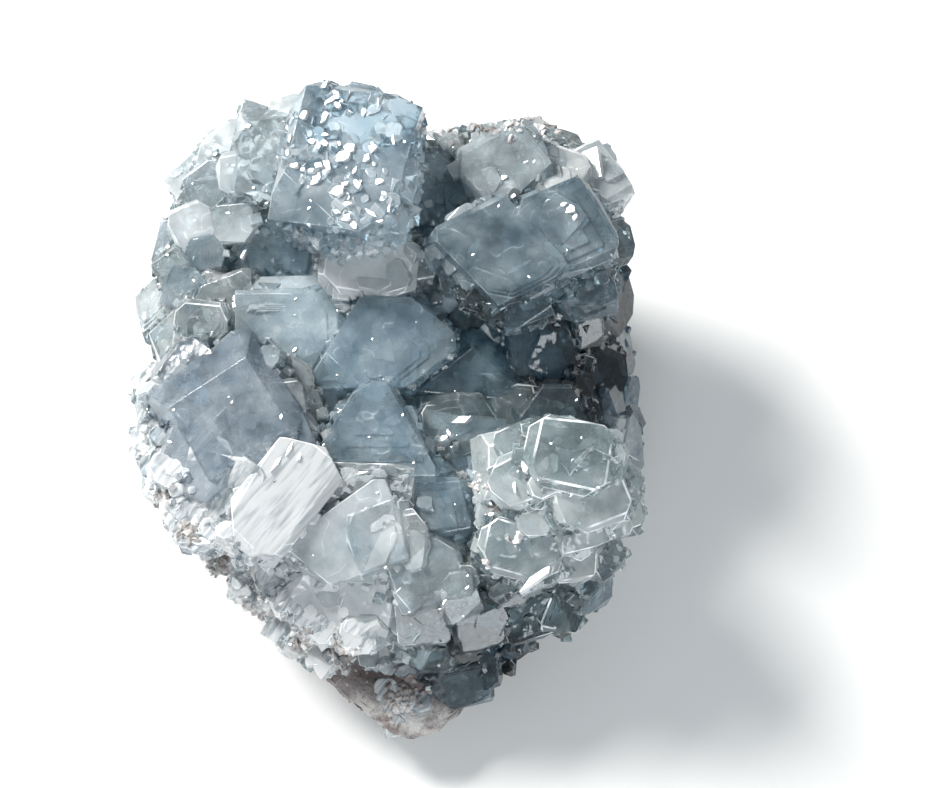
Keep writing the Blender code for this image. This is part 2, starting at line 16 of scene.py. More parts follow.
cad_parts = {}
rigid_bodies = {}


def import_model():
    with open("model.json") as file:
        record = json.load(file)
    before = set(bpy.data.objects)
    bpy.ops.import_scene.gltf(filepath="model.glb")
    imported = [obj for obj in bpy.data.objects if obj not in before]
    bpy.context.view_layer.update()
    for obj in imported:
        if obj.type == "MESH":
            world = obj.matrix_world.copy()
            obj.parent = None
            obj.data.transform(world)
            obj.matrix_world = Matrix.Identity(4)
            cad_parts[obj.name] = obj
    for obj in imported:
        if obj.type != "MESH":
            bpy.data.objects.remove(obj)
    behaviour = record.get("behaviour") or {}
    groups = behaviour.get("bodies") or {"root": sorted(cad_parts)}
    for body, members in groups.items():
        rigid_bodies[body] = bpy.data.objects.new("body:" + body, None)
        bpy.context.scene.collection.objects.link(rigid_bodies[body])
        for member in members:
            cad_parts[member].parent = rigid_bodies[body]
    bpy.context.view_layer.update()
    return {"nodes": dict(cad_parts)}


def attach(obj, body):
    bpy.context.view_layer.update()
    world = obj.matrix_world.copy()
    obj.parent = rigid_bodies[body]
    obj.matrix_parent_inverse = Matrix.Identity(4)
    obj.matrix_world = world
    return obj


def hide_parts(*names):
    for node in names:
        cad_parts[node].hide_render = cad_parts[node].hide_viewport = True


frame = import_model()

MM = 0.001
UP = Vector((0, 0, 1))
FAR = 120

# The view of the photograph, which places on the specimen are read from
VIEW_ELEVATION = math.radians(68.0)
VIEW_DISTANCE = 300.0
VIEW_CENTRE = Vector((0.0, -2.0, 20.0))
VIEW_RIGHT = Vector((1.0, 0.0, 0.0))
VIEW_UP = Vector((0.0, math.sin(VIEW_ELEVATION), math.cos(VIEW_ELEVATION)))
VIEW_BACK = Vector((0.0, -math.cos(VIEW_ELEVATION), math.sin(VIEW_ELEVATION)))
VIEW_EYE = VIEW_CENTRE + VIEW_RIGHT * 9.6 + VIEW_UP * 1.9 + VIEW_BACK * VIEW_DISTANCE
IMAGE_WIDTH = 940
PIXEL = 0.12
SENSOR = 36.0

# Crust and crystals, as in the solids
CRYSTAL_RISE = 3.3
SMOOTHING = 4.0
HABIT_DRIFT = 9.0
SHARE_DRIFT = (0.75, 1.2)
CRUST_POWER = 0.6
CRUST_BOTTOM = 4.0
CRUST_WAVES = 0.16
CRUST_RELIEF = 0.5
WORN_PASSES = 2
HABIT_SEED = 5
FILLER_SEED = 11
FILLER_SPACING = 4.3
FILLER_CLEARANCE = 0.36
FILLER_SIZE = (3.2, 5.4)
FILLER_STRETCH = (0.8, 1.2)
FILLER_DEPTH = 1.7
FILLER_OUT = 0.45
FILLER_LEAN = (0.4, 0.35)
FILLER_LOWEST = 6.5
FILLER_UNDERSIDE = -0.25
FILLER_HABITS = ("roof", "point", "rhomb", "lens", "block")

# Edges and corners of the crystals
GROWTH = 1.3
RIM_GROWTH = 0.8
RIM_RADIUS = 26.0
DETAIL_SEED = 23
DRESSING_SEED = 71
WELD = 0.004
CHAMFER_WELD = 0.002
POINTED_RATIO = 1.7
POINTED_END = ((24, 4, 0.36), (336, 4, 0.32), (0, 55, 0.26))
CHAMFER = 0.018
CHAMFER_LIMITS = {
    "etched": (0.04, 0.08), "mass": (0.010, 0.014), "haze": (0.03, 0.08), "blue": (0.03, 0.08),
    "clear": (0.04, 0.13), "bubble": (0.06, 0.18), "milky": (0.04, 0.12), "white": (0.04, 0.10),
    "druse": (0.03, 0.08),
}
NICKS = (1, 4)
NICK_RISE = (20, 62)
NICK_SHARE = (0.08, 0.24)

# Small crystals that grow on the walls, between neighbours and on the tops of larger ones. Stretch is how
# wide a crystal is for its length, and depth how deep it is for its length.
SMALL_HABITS = ("roof", "point", "roof", "slab", "point", "block")
PARALLEL_SPACING = 2.4
PARALLEL_SIZE = (0.14, 0.30)
PARALLEL_LARGEST = 2.6
PARALLEL_LEVEL = (0.06, 0.50)
PARALLEL_ASIDE = 0.2
PARALLEL_TILT = (0, 12)
PARALLEL_TURN = 7
PARALLEL_STRETCH = (0.9, 1.6)
PARALLEL_DEPTH = (1.6, 2.6)
PARALLEL_SUNK = 0.18
PARALLEL_TONE = 0.3
BRIDGE_SEED = 47
BRIDGES = 2
BRIDGE_GAP = 2.2
BRIDGE_DROP = 7.0
BRIDGE_SIZE = (1.8, 3.8)
BRIDGE_SHARE = (0.2, 0.8)
BRIDGE_ASIDE = 1.6
BRIDGE_LEAN = 0.35
BRIDGE_STRETCH = (0.8, 1.5)
BRIDGE_DEPTH = 1.9
BRIDGE_SUNK = (0.3, 2.2)
BRIDGE_CLEAR = -0.5
CAPS = {
    "etched": (0, 0), "mass": (0, 0), "haze": (0, 1), "blue": (0, 2), "clear": (1, 3), "bubble": (0, 1),
    "milky": (1, 4), "white": (0, 0), "druse": (0, 0),
}
CAPPED_SIZE = 4.6
CAP_SIZE = (0.35, 0.62)
CAP_ASIDE = 0.34
CAP_RISE = (-0.35, 0.35)
CAP_TILT = (3, 17)
CAP_STRETCH = (0.9, 1.5)
CAP_DEPTH = 1.2
CAP_TONE = 0.35

# Small crystals in the crevices and on the open crust
CREVICE_SEED = 31
CREVICE_TRIES = 9000
CREVICE_SIZE = (0.8, 3.2)
CREVICE_AIM = ((-30, 30), (-36, 34), (6, 36))
CREVICE_LIFT = (0.05, 1.0)
CREVICE_STRETCH = (0.8, 1.4)
CREVICE_DEPTH = 1.9
CREVICE_LEAN = (0.45, 0.75)
CREVICE_NORMAL = 0.55
CREVICE_OUT = 0.5
CREVICE_FIT = 0.8
CREVICE_SPACING = 0.40
CREVICE_LOWEST = 5.0
CREVICE_RAYS = 7
CREVICE_RAY_RISE = 0.45
CREVICE_RAY_START = 0.12
CREVICE_WIDTH = 3.4
CREVICE_CLOSE = 4
CREVICE_CELL = 3.0
CREVICE_CLEAR = 0.25

# Growth steps and milky sheets
STEPLESS = ("etched", "mass", "bubble", "white", "milky")
STEP_AREA = 9.0
STEP_LEVEL = 0.25
STEPS = (1, 3)
STEP_RISE = (0.06, 0.20)
STEP_SCALE = (0.62, 0.92)
STEP_CORNER = (0.06, 0.5)
STEP_SHIFT = (0.0, 0.3)
STEP_ROOT = 0.7
STEP_CHAMFER = 0.02
VEILS = (2, 5)
VEIL_THICKNESS = 0.05
VEIL_ASIDE = 0.22
VEIL_DEPTH = (0.22, 0.5)
VEIL_TILT = (10, 80)
VEIL_REACH = (0.12, 0.30)
VEIL_STRETCH = (1.0, 1.8)
VEILED_SIZE = 5.0

# Etched surface of the big block, and small mirror faces
ETCH_SEED = 61
ETCHED = 5
ETCHED_SIZE = (0.7, 2.1)
ETCHED_STRETCH = (0.7, 1.4)
ETCHED_TILT = (4, 26)
ETCHED_RISE = (0.02, 0.22)
ETCHED_ASIDE = 1.1
PATCH_CORNERS = (4, 7)
PATCH_UNEVEN = 0.35
PATCH_REACH = (0.55, 1.25)
GLINT_SCALE = 1.15
GLINT_RISE = (0.08, 0.14)
GLINT_TURNED = (0.04, 0.11)
GLITTER = 110
GLITTER_U = (-28, 28)
GLITTER_V = (-32, 36)
GLITTER_SIZE = (0.15, 0.36)
GLITTER_STRETCH = (1.0, 2.4)
GLITTER_LEVEL = 0.3
GLITTER_TURNED = 0.1

# Lamps, in metres: name, place, size, power and colour. The mirror faces flash in the first one.
KEY_PLACE = (-0.28, 0.22, 0.34)
LAMPS = (
    ("key", KEY_PLACE, (0.17, 0.17), 4.7, (1.0, 0.98, 0.95)),
    ("fill", (0.10, -0.45, 0.35), (0.4, 0.3), 2.0, (0.92, 0.97, 1.0)),
)
AIMED_AT = (0, 0, 0.015)
SKY = {"Color": (0.80, 0.86, 0.92, 1.0), "Strength": 0.34}

# Etched flakes on the big block: u, v, length, width and turn
FLAKES = (
    (-10.4, 35.3, 1.1, 0.9, 20), (-7.8, 35.1, 1.4, 0.7, 70), (-7.1, 37.1, 1.5, 0.6, 40),
    (-6.2, 36.6, 0.9, 0.6, 110), (-3.2, 35.8, 1.0, 0.6, 80), (-7.8, 39.0, 1.1, 0.5, 50),
    (-9.4, 32.2, 0.9, 0.7, 15), (-7.8, 33.0, 1.0, 0.5, 0), (-7.8, 32.0, 1.2, 0.6, 160),
    (-6.2, 31.9, 1.1, 0.5, 150), (-4.9, 31.3, 1.3, 1.1, 30), (-5.6, 30.3, 1.4, 1.1, 20),
    (-2.0, 31.4, 1.4, 1.1, 90), (-2.8, 30.2, 1.1, 0.9, 60), (-8.6, 29.4, 1.2, 0.8, 140),
    (-11.5, 29.3, 0.8, 0.5, 0), (-10.4, 28.8, 0.7, 0.5, 10), (-9.4, 28.7, 0.7, 0.4, 170),
    (-4.3, 28.6, 1.0, 0.4, 50), (-4.0, 27.1, 1.4, 0.7, 115), (-6.2, 26.4, 1.5, 1.2, 35),
    (-5.5, 27.1, 0.9, 0.6, 20), (-1.2, 27.4, 1.0, 0.7, 5), (-5.2, 24.7, 1.1, 0.4, 165),
    (-6.4, 23.8, 1.1, 0.5, 150), (-5.2, 23.0, 1.2, 0.8, 10), (-4.3, 22.2, 1.0, 0.6, 120),
    (-2.2, 23.6, 1.5, 0.5, 140), (-0.1, 24.1, 1.0, 0.3, 70), (-1.1, 22.7, 0.9, 0.4, 10),
    (0.4, 32.4, 1.5, 0.3, 100), (-1.4, 37.0, 1.4, 0.2, 92), (-12.0, 32.6, 0.9, 0.4, 80),
    (-12.3, 30.9, 0.8, 0.4, 100),
)

# Small mirror faces that flash elsewhere, as above
GLINTS = (
    (17.9, -20.0, 4.4, 1.3, 33), (24.6, 29.4, 2.6, 4.2, 35), (8.6, -1.3, 2.6, 1.5, 25),
    (7.0, -2.6, 1.8, 0.4, 120), (13.6, 27.8, 0.8, 0.5, 0), (21.6, 24.0, 1.3, 0.9, 30),
    (22.3, 23.2, 0.9, 0.5, 70), (20.8, 24.6, 0.7, 0.5, 10), (-17.4, 19.0, 2.2, 0.4, 58),
    (-2.4, 19.2, 1.2, 0.8, 10), (16.3, -6.9, 1.7, 1.4, 80), (14.9, -9.0, 2.0, 0.4, 95),
    (12.3, -12.5, 0.9, 0.7, 10), (27.2, -8.6, 0.8, 0.5, 70), (6.6, -23.0, 1.2, 0.3, 60),
    (-12.0, -4.6, 1.6, 0.4, 60), (-13.6, -6.4, 1.8, 0.4, 55), (-10.9, -5.6, 1.0, 0.4, 70),
    (-3.6, -7.6, 1.8, 0.25, 5), (4.8, 15.4, 0.6, 0.4, 30), (10.0, 18.6, 0.5, 0.4, 0),
    (14.8, 25.6, 0.6, 0.4, 40), (-17.0, 34.0, 0.9, 0.6, 20), (-21.0, 30.6, 0.7, 0.5, 0),
)

# White crust of tiny crystals along the rim: u, v, how far it spreads and how many
RIM_CRUST = (
    (-27.6, -8.0, 2.2, 34), (-25.5, -12.0, 2.4, 44), (-22.0, -15.6, 2.4, 44), (-18.0, -19.5, 2.4, 40),
    (-14.5, -23.0, 2.4, 44), (-9.5, -26.5, 2.4, 40), (-4.5, -27.5, 2.4, 30), (-30.0, 3.5, 2.0, 26),
    (-29.6, -3.0, 2.0, 26), (1.0, -34.0, 2.4, 16),
)
RIM_SIZE = (0.8, 3.0)
RIM_STRETCH = (0.8, 1.5)
RIM_DEPTH = 1.2
RIM_TILT = (0, 30)
RIM_OUT = 0.16

# Grains of rock among the crystals, as above
CRUMBS = (
    (10.4, -9.2, 1.2, 16), (12.4, -12.0, 0.9, 8), (15.4, -15.6, 1.2, 10), (11.6, -18.2, 0.8, 5),
    (6.0, 34.4, 2.0, 40), (10.5, 35.0, 2.4, 56), (15.0, 35.2, 2.4, 50), (19.0, 33.8, 1.6, 22),
    (-27.4, -10.4, 1.2, 24), (-24.4, -14.6, 1.4, 40), (-20.4, -18.6, 1.4, 40), (-16.0, -23.6, 1.4, 36),
    (-10.8, -27.8, 1.6, 40), (-5.4, -29.6, 1.8, 40), (1.5, -34.6, 2.6, 60),
)
CRUMB_SIZE = (0.4, 1.4)
CRUMB_SUNK = 0.1
CRUMB_ROUGH = 1.1
CRUMB_WAVES = 2.6
CRUMB_SHIFT = ((0, 50), (0, 50), (0, 50))
CRUMB_CUTS = 3
CRUMB_CUT_RISE = (-80, 80)
CRUMB_CUT_SHARE = (0.3, 0.7)
GRAINS = 1500
GRAIN_SIZE = (0.25, 0.75)
GRAIN_SHRINK = (0.6, 1.0)
GRAIN_SIDE = (math.pi * 0.95, math.pi * 1.75)
GRAIN_LIFT = (-0.3, 0.9)
GRAIN_AIM = ((-24, 14), (-36, 6), (3, 20))
GRAIN_LOWEST = 1.0

# Where the crystals are paler or deeper than the rest, partly their real tint (bluer at the right, milkier at
# the left) and partly painted shade in recesses, on the shaded right side and over too bright tops, with
# painted light on crystals that others shade: u, v, how far it reaches and how much
TINTS_AND_PAINTED_SHADES = (
    (-5.6, 30.6, 7.0, -0.04), (-14.4, 19.0, 4.0, -0.10), (-2.6, 17.4, 4.5, 0.36), (-12.0, 8.8, 5.0, 0.14),
    (9.0, 5.0, 5.0, -0.10), (8.5, 11.5, 4.5, -0.38), (13.4, 18.0, 6.5, -0.27), (22.0, 21.0, 5.5, -0.24),
    (13.0, 29.4, 5.0, -0.12), (19.5, 8.5, 5.0, -0.30), (28.0, 7.0, 7.0, -0.40), (-1.6, -2.0, 5.5, -0.22),
    (-6.0, -14.4, 5.5, 0.14), (-12.4, -9.8, 5.0, 0.12), (-5.4, -23.2, 5.5, 0.24), (8.0, -28.5, 6.0, -0.36),
    (19.8, 0.0, 5.0, -0.24), (16.0, -24.0, 7.0, -0.36), (4.4, 23.6, 4.5, 0.30), (-20.0, 0.5, 7.0, -0.22),
    (-20.5, 25.0, 6.0, -0.24), (4.5, 28.0, 3.5, 0.14),
)

# Surface of the rock
ROCK_CUTS = 3
ROCK_ROUGH = 0.34
ROCK_LAYERS = 0.5
ROCK_PITS = 1.3
ROCK_WAVES = 0.45
ROCK_LAYER_WAVES = (0.12, 1.3)
ROCK_PIT_WAVES = 0.8
ROCK_FLAT = 0.3
ROCK_FADE = 1.5

# Outline of the crust: x, y and z
CRUST_RIM = (
    (28.0, -4.0, 10), (28.0, 3.0, 10), (27.5, 12.0, 12), (26.0, 22.0, 20), (20.0, 29.5, 22),
    (9.0, 30.0, 24), (-1.0, 29.5, 24), (-11.0, 31.0, 24), (-19.5, 29.0, 22), (-26.0, 23.0, 18),
    (-28.5, 13.0, 15), (-28.0, 4.0, 14), (-28.0, -2.0, 13), (-26.0, -8.0, 15), (-21.0, -14.0, 15),
    (-15.0, -19.5, 14), (-9.0, -25.0, 13), (-3.0, -28.5, 12), (4.0, -32.5, 9), (10.0, -34.0, 8),
    (13.5, -27.5, 8), (20.0, -25.5, 9), (25.5, -18.0, 12), (28.0, -11.0, 14),
)

# Cuts that give a block its faces: the way the face looks, how far it is turned up, and the share of the
# corner that it takes off.
HABITS = {
    "block": (
        (25, 36, 0.34), (105, 48, 0.36), (195, 38, 0.40), (288, 50, 0.34), (58, 6, 0.20), (238, 0, 0.20),
        (150, 20, 0.22),
    ),
    "roof": (
        (0, 40, 0.95), (180, 44, 0.95), (90, 55, 0.45), (270, 60, 0.40), (45, 0, 0.15), (225, 0, 0.15),
    ),
    "point": (
        (12, 48, 0.85), (100, 44, 0.92), (190, 50, 0.85), (280, 46, 0.92), (55, 0, 0.18), (235, 0, 0.18),
    ),
    "rhomb": (
        (38, 0, 0.30), (142, 0, 0.33), (218, 0, 0.30), (322, 0, 0.33), (95, 50, 0.28), (265, 44, 0.30),
    ),
    "lens": (
        (40, 10, 0.30), (140, 8, 0.28), (222, 12, 0.30), (318, 8, 0.28), (0, 45, 0.20), (90, 48, 0.22),
        (180, 42, 0.20), (270, 50, 0.24),
    ),
    "slab": (
        (90, 42, 0.18), (270, 40, 0.22), (0, 30, 0.10), (180, 35, 0.12),
    ),
}

Crystal = namedtuple("Crystal", "look u v z width length depth tilt toward turn habit")

# The named crystals: the first word is the look, and the rest are as in the solids.
CRYSTALS = [Crystal(*row) for row in (
    # The etched block at the back left, the highest
    ("etched", -5.6, 30.6, 41.5, 13.8, 16.4, 12.0, 9, 255, -13, (
        (238, 60, 0.44), (40, 52, 0.34), (318, 5, 0.22), (180, 35, 0.14), (95, 40, 0.14), (135, 0, 0.14))),
    # Pale blocks to its left
    ("milky", -15.4, 31.0, 33.0, 7.5, 10.0, 9.0, 14, 262, -15, "block"),
    ("milky", -16.6, 25.6, 30.0, 5.5, 4.8, 7.0, 28, 250, 20, "block"),
    ("clear", -22.2, 24.6, 28.0, 6.5, 5.6, 8.0, 26, 238, 10, "lens"),
    ("milky", -25.6, 20.0, 24.0, 6.5, 7.0, 8.0, 30, 190, -10, "lens"),
    ("milky", -24.4, 28.4, 26.0, 5.0, 5.0, 8.0, 34, 150, 30, "block"),
    ("milky", -20.2, 30.0, 29.5, 6.0, 5.4, 8.0, 24, 228, 15, "lens"),
    ("milky", -20.4, 33.2, 27.0, 5.0, 5.0, 8.0, 42, 130, 5, "block"),
    ("milky", -16.6, 34.6, 29.0, 5.6, 5.0, 8.0, 38, 118, 25, "rhomb"),
    ("milky", -12.8, 36.0, 32.0, 5.2, 5.2, 9.0, 24, 118, -8, "block"),
    # Glassy crystal in the shade below them, and its neighbours
    ("blue", -14.4, 19.2, 27.0, 8.0, 8.5, 10.0, 36, 262, 8, (
        (60, 50, 0.55), (125, 46, 0.60), (200, 30, 0.25), (340, 25, 0.22), (270, 40, 0.20))),
    ("blue", -19.8, 17.8, 24.5, 4.6, 6.2, 8.0, 30, 215, 30, "roof"),
    ("clear", -22.4, 14.2, 24.5, 4.6, 4.2, 7.0, 25, 225, 12, "block"),
    # Rounded block in front of the etched one
    ("milky", -2.6, 17.8, 30.0, 10.5, 7.2, 9.0, 16, 268, -6, "lens"),
    ("clear", 3.0, 18.2, 27.0, 4.2, 5.6, 8.0, 20, 300, 20, "rhomb"),
    # Lilac face with the narrow band behind its ridge
    ("haze", -11.8, 8.6, 26.5, 12.2, 10.3, 10.0, 22, 262, 0, (
        (33, 10, 0.30), (329, 12, 0.40), (232, 10, 0.54), (90, 40, 0.08))),
    ("haze", -10.8, 14.2, 27.2, 11.5, 3.8, 9.0, 16, 85, 3, "slab"),
    ("clear", -20.2, 13.8, 26.0, 7.4, 2.8, 8.0, 28, 240, 14, "slab"),
    # Large striated face in the middle
    ("haze", -0.7, 8.2, 28.0, 15.6, 9.6, 11.0, 14, 272, 0, (
        (51, 12, 0.36), (308, 10, 0.38), (149, 6, 0.48), (226, 62, 0.42), (92, 40, 0.10))),
    # Deep blue pyramid to its right
    ("blue", 10.2, 5.0, 25.0, 12.5, 9.8, 10.0, 12, 275, -3, (
        (50, 42, 0.80), (132, 42, 0.76), (268, 40, 0.42), (318, 20, 0.25), (215, 20, 0.25))),
    # The deepest recess
    ("clear", 4.6, 13.2, 21.0, 3.6, 4.2, 8.0, 12, 280, 20, "point"),
    ("blue", 7.8, 11.6, 15.5, 5.0, 5.0, 6.0, 26, 20, 15, "point"),
    ("blue", 10.8, 12.0, 16.5, 4.2, 5.2, 7.0, 32, 190, 40, "block"),
    # Two big tabular crystals at the right
    ("haze", 13.2, 19.4, 37.5, 13.6, 10.6, 11.0, 11, 262, 27, (
        (16, 6, 0.46), (196, 6, 0.46), (290, 8, 0.14), (232, 78, 0.40), (90, 45, 0.12), (150, 20, 0.22))),
    ("clear", 11.4, 14.2, 34.0, 4.6, 3.8, 8.0, 20, 250, -20, "rhomb"),
    ("haze", 15.6, 13.0, 34.0, 5.2, 4.2, 8.0, 20, 265, 20, "block"),
    ("haze", 21.6, 21.9, 37.0, 9.0, 9.8, 10.0, 16, 315, 27, (
        (5, 40, 0.22), (45, 8, 0.16), (270, 50, 0.20), (135, 0, 0.12), (315, 0, 0.16))),
    # Pale faces behind them
    ("milky", 13.6, 29.4, 35.0, 10.0, 7.8, 10.0, 15, 235, 18, "block"),
    ("milky", 20.4, 29.0, 34.0, 6.6, 7.0, 9.0, 14, 50, -20, "lens"),
    # Dark clear prisms in the gap beside the etched block
    ("blue", 5.0, 23.2, 29.0, 6.6, 9.4, 11.0, 28, 225, 35, "roof"),
    ("blue", 4.6, 27.8, 31.0, 5.6, 5.2, 8.0, 28, 250, 15, "rhomb"),
    ("blue", 8.4, 26.2, 32.0, 4.2, 6.6, 9.0, 30, 205, -10, "block"),
    ("blue", 2.6, 20.4, 26.0, 4.0, 4.0, 7.0, 22, 220, 30, "point"),
    # Back edge
    ("milky", 4.8, 32.0, 27.0, 5.0, 4.0, 7.0, 24, 120, 10, "block"),
    ("milky", 9.0, 32.2, 28.5, 5.6, 4.6, 8.0, 20, 85, -12, "lens"),
    ("milky", 13.2, 33.4, 29.0, 6.0, 4.4, 8.0, 26, 78, 6, "block"),
    ("milky", 17.4, 33.6, 29.0, 5.2, 5.0, 8.0, 34, 60, 20, "rhomb"),
    ("clear", 21.0, 32.2, 29.0, 5.2, 4.8, 8.0, 36, 55, -10, "block"),
    ("clear", 6.2, 30.8, 30.0, 5.0, 4.4, 8.0, 20, 210, 25, "lens"),
    # Bright face and dark crystals at the right shoulder
    ("milky", 25.2, 28.8, 31.0, 4.8, 7.6, 9.0, 20, 30, 35, "slab"),
    ("clear", 25.0, 25.2, 29.5, 5.0, 5.6, 9.0, 32, 330, 30, "roof"),
    ("clear", 27.6, 20.4, 24.0, 4.2, 5.6, 9.0, 44, 345, 25, "rhomb"),
    ("haze", 23.0, 14.4, 30.0, 7.6, 6.6, 10.0, 30, 290, 12, "block"),
    # Dark blocks under the two big ones
    ("blue", 17.8, 8.4, 25.5, 7.6, 7.6, 10.0, 26, 265, -3, "block"),
    ("blue", 13.6, 10.1, 23.0, 4.6, 6.6, 8.0, 30, 225, -20, "rhomb"),
    ("clear", 22.4, 10.0, 23.5, 4.9, 4.4, 8.0, 35, 285, 8, "block"),
    ("clear", 22.6, 6.8, 20.5, 4.2, 4.2, 7.0, 40, 300, 20, "point"),
    # Steep right side
    ("blue", 27.0, 13.6, 19.5, 8.0, 9.0, 9.0, 56, 350, 0, "rhomb"),
    ("haze", 27.6, 8.6, 15.0, 8.0, 9.0, 9.0, 62, 5, 20, "block"),
    ("blue", 25.2, 4.0, 17.5, 7.6, 8.0, 9.0, 48, 325, -15, "rhomb"),
    ("haze", 28.4, 0.0, 13.5, 7.4, 7.8, 8.0, 56, 0, 30, "block"),
    ("blue", 24.0, 0.8, 20.0, 5.0, 6.0, 8.0, 40, 335, 10, "roof"),
    ("haze", 28.8, -4.8, 14.0, 7.0, 7.0, 8.0, 58, 350, 15, "lens"),
    # Low crystals right of the middle
    ("haze", 19.9, -0.6, 25.0, 8.2, 5.8, 9.0, 26, 272, 0, (
        (24, 6, 0.48), (144, 6, 0.46), (90, 45, 0.10), (270, 50, 0.18))),
    ("clear", 15.0, -0.2, 23.5, 6.2, 5.2, 8.0, 20, 262, -5, "block"),
    ("clear", 8.0, -1.9, 23.5, 9.6, 6.2, 9.0, 22, 270, 3, "block"),
    ("clear", 6.2, -6.4, 18.0, 5.2, 5.2, 7.0, 26, 320, 12, "point"),
    # Cluster of stubby clear crystals at the right front
    ("bubble", 12.5, -6.4, 30.0, 5.6, 6.6, 9.0, 22, 205, 5, "roof"),
    ("bubble", 15.4, -8.4, 31.0, 5.6, 5.2, 8.0, 26, 255, 20, "rhomb"),
    ("bubble", 16.3, -4.2, 31.0, 5.6, 6.0, 9.0, 15, 120, 30, "lens"),
    ("bubble", 21.7, -5.4, 34.0, 9.2, 7.2, 10.0, 12, 295, -12, "lens"),
    ("bubble", 24.1, -10.1, 31.5, 8.2, 7.6, 10.0, 24, 300, 20, "lens"),
    ("bubble", 24.4, -14.1, 27.0, 8.2, 3.8, 8.0, 36, 295, 22, "slab"),
    ("bubble", 28.8, -8.2, 23.5, 4.8, 5.8, 8.0, 46, 5, 0, "lens"),
    ("bubble", 28.6, -11.8, 20.5, 4.4, 5.8, 8.0, 50, 345, 20, "rhomb"),
    ("bubble", 19.0, -11.4, 29.0, 5.2, 5.2, 8.0, 18, 270, 40, "block"),
    ("bubble", 13.8, -12.2, 27.0, 5.6, 4.8, 8.0, 22, 250, -10, "lens"),
    ("bubble", 19.6, -14.2, 27.0, 4.8, 4.4, 7.0, 26, 280, 15, "rhomb"),
    # Pale rounded crystal and the narrow bright face in front of the cluster
    ("bubble", 15.6, -17.0, 26.0, 8.6, 5.4, 9.0, 26, 270, -14, "lens"),
    ("milky", 18.1, -20.0, 23.0, 5.2, 2.2, 7.0, 32, 285, 24, "slab"),
    ("bubble", 12.6, -20.2, 22.0, 4.8, 5.2, 8.0, 35, 265, 25, "point"),
    ("bubble", 22.2, -18.0, 22.5, 5.6, 5.2, 8.0, 40, 305, 10, "lens"),
    ("clear", 25.8, -17.4, 19.0, 4.8, 5.2, 8.0, 46, 320, 30, "block"),
    # Fin-shaped face and the pale ledges in front of it
    ("haze", -1.4, -2.6, 28.0, 12.0, 10.6, 11.0, 16, 266, 0, (
        (30, 6, 0.58), (148, 8, 0.44), (121, 12, 0.37), (30, 50, 0.50), (270, 52, 0.14), (215, 20, 0.16))),
    ("clear", -2.8, -8.9, 26.0, 9.8, 3.6, 8.0, 30, 268, -2, "slab"),
    ("milky", -6.0, -14.6, 25.0, 12.8, 10.7, 11.0, 20, 262, 0, (
        (125, 8, 0.70), (20, 10, 0.19), (292, 30, 0.34), (337, 20, 0.28), (230, 20, 0.40), (125, 55, 0.62))),
    ("milky", 4.3, -19.6, 22.5, 7.6, 7.6, 9.0, 24, 262, 12, "lens"),
    ("haze", 5.3, -11.5, 24.0, 7.6, 5.6, 9.0, 22, 275, -4, "block"),
    ("clear", 1.6, -15.6, 24.5, 4.8, 5.6, 8.0, 26, 275, 8, "rhomb"),
    ("clear", -8.4, 1.2, 22.0, 6.2, 5.6, 8.0, 20, 280, 0, "block"),
    ("clear", 1.4, 2.4, 21.5, 7.0, 4.0, 6.0, 10, 90, 0, "slab"),
    # Veiled fibrous crystal
    ("white", -12.5, -9.8, 28.0, 15.5, 7.6, 9.0, 18, 290, 53, "lens"),
    # Large smooth mass at the left
    ("mass", -19.8, 0.0, 29.8, 13.4, 14.6, 13.0, 12, 235, 32, (
        (90, 58, 0.50), (270, 50, 0.26), (180, 34, 0.26), (0, 50, 0.28), (315, 10, 0.20), (225, 12, 0.24))),
    ("mass", -15.2, -2.0, 29.4, 8.4, 12.0, 10.0, 8, 285, 24, "block"),
    ("white", -20.8, -10.4, 26.2, 12.6, 10.4, 10.0, 34, 240, -35, "block"),
    ("milky", -26.6, -5.0, 23.5, 7.4, 9.0, 9.0, 42, 200, 12, "block"),
    ("clear", -12.0, 3.4, 27.0, 4.6, 5.2, 8.0, 20, 330, 30, "rhomb"),
    ("clear", -10.6, -0.6, 26.5, 5.2, 4.8, 8.0, 20, 320, 5, "block"),
    ("haze", -17.2, 6.6, 30.0, 5.2, 7.2, 9.0, 15, 60, 20, "roof"),
    ("clear", -12.6, -3.8, 28.0, 5.6, 5.2, 8.0, 15, 290, 25, "lens"),
    # Left edge
    ("white", -29.4, 2.2, 17.0, 5.2, 7.0, 8.0, 55, 178, 0, "block"),
    ("milky", -29.2, -4.2, 16.0, 4.8, 7.0, 8.0, 58, 190, 12, "rhomb"),
    ("clear", -28.6, 12.8, 20.0, 5.2, 7.0, 8.0, 46, 175, 15, "slab"),
    ("haze", -25.0, 14.2, 24.5, 5.6, 5.6, 8.0, 30, 205, 40, "block"),
    ("clear", -26.4, 8.6, 24.0, 5.6, 6.2, 8.0, 32, 190, 10, "block"),
    ("clear", -22.8, 10.4, 27.0, 5.2, 4.2, 7.0, 26, 246, -10, "rhomb"),
    # Pale granular face over the rock at the front
    ("milky", -5.4, -23.4, 18.5, 12.0, 8.6, 9.0, 34, 258, -12, "lens"),
    ("white", -12.2, -21.0, 17.5, 6.2, 7.0, 8.0, 45, 238, 30, "slab"),
    ("milky", 0.6, -25.0, 17.0, 5.0, 4.6, 8.0, 38, 262, 10, "block"),
    # Clear stubby crystals at the front right
    ("clear", 3.9, -25.4, 19.0, 4.9, 4.9, 9.0, 34, 268, 5, (
        (45, 0, 0.10), (135, 0, 0.10), (225, 0, 0.12), (315, 0, 0.12), (270, 45, 0.12))),
    ("clear", 5.4, -29.6, 14.0, 4.8, 4.4, 8.0, 46, 278, 0, "lens"),
    ("clear", 7.8, -22.8, 21.0, 4.4, 4.2, 8.0, 32, 280, 20, "block"),
    ("clear", 10.6, -25.8, 18.0, 5.6, 6.2, 9.0, 36, 290, 15, "lens"),
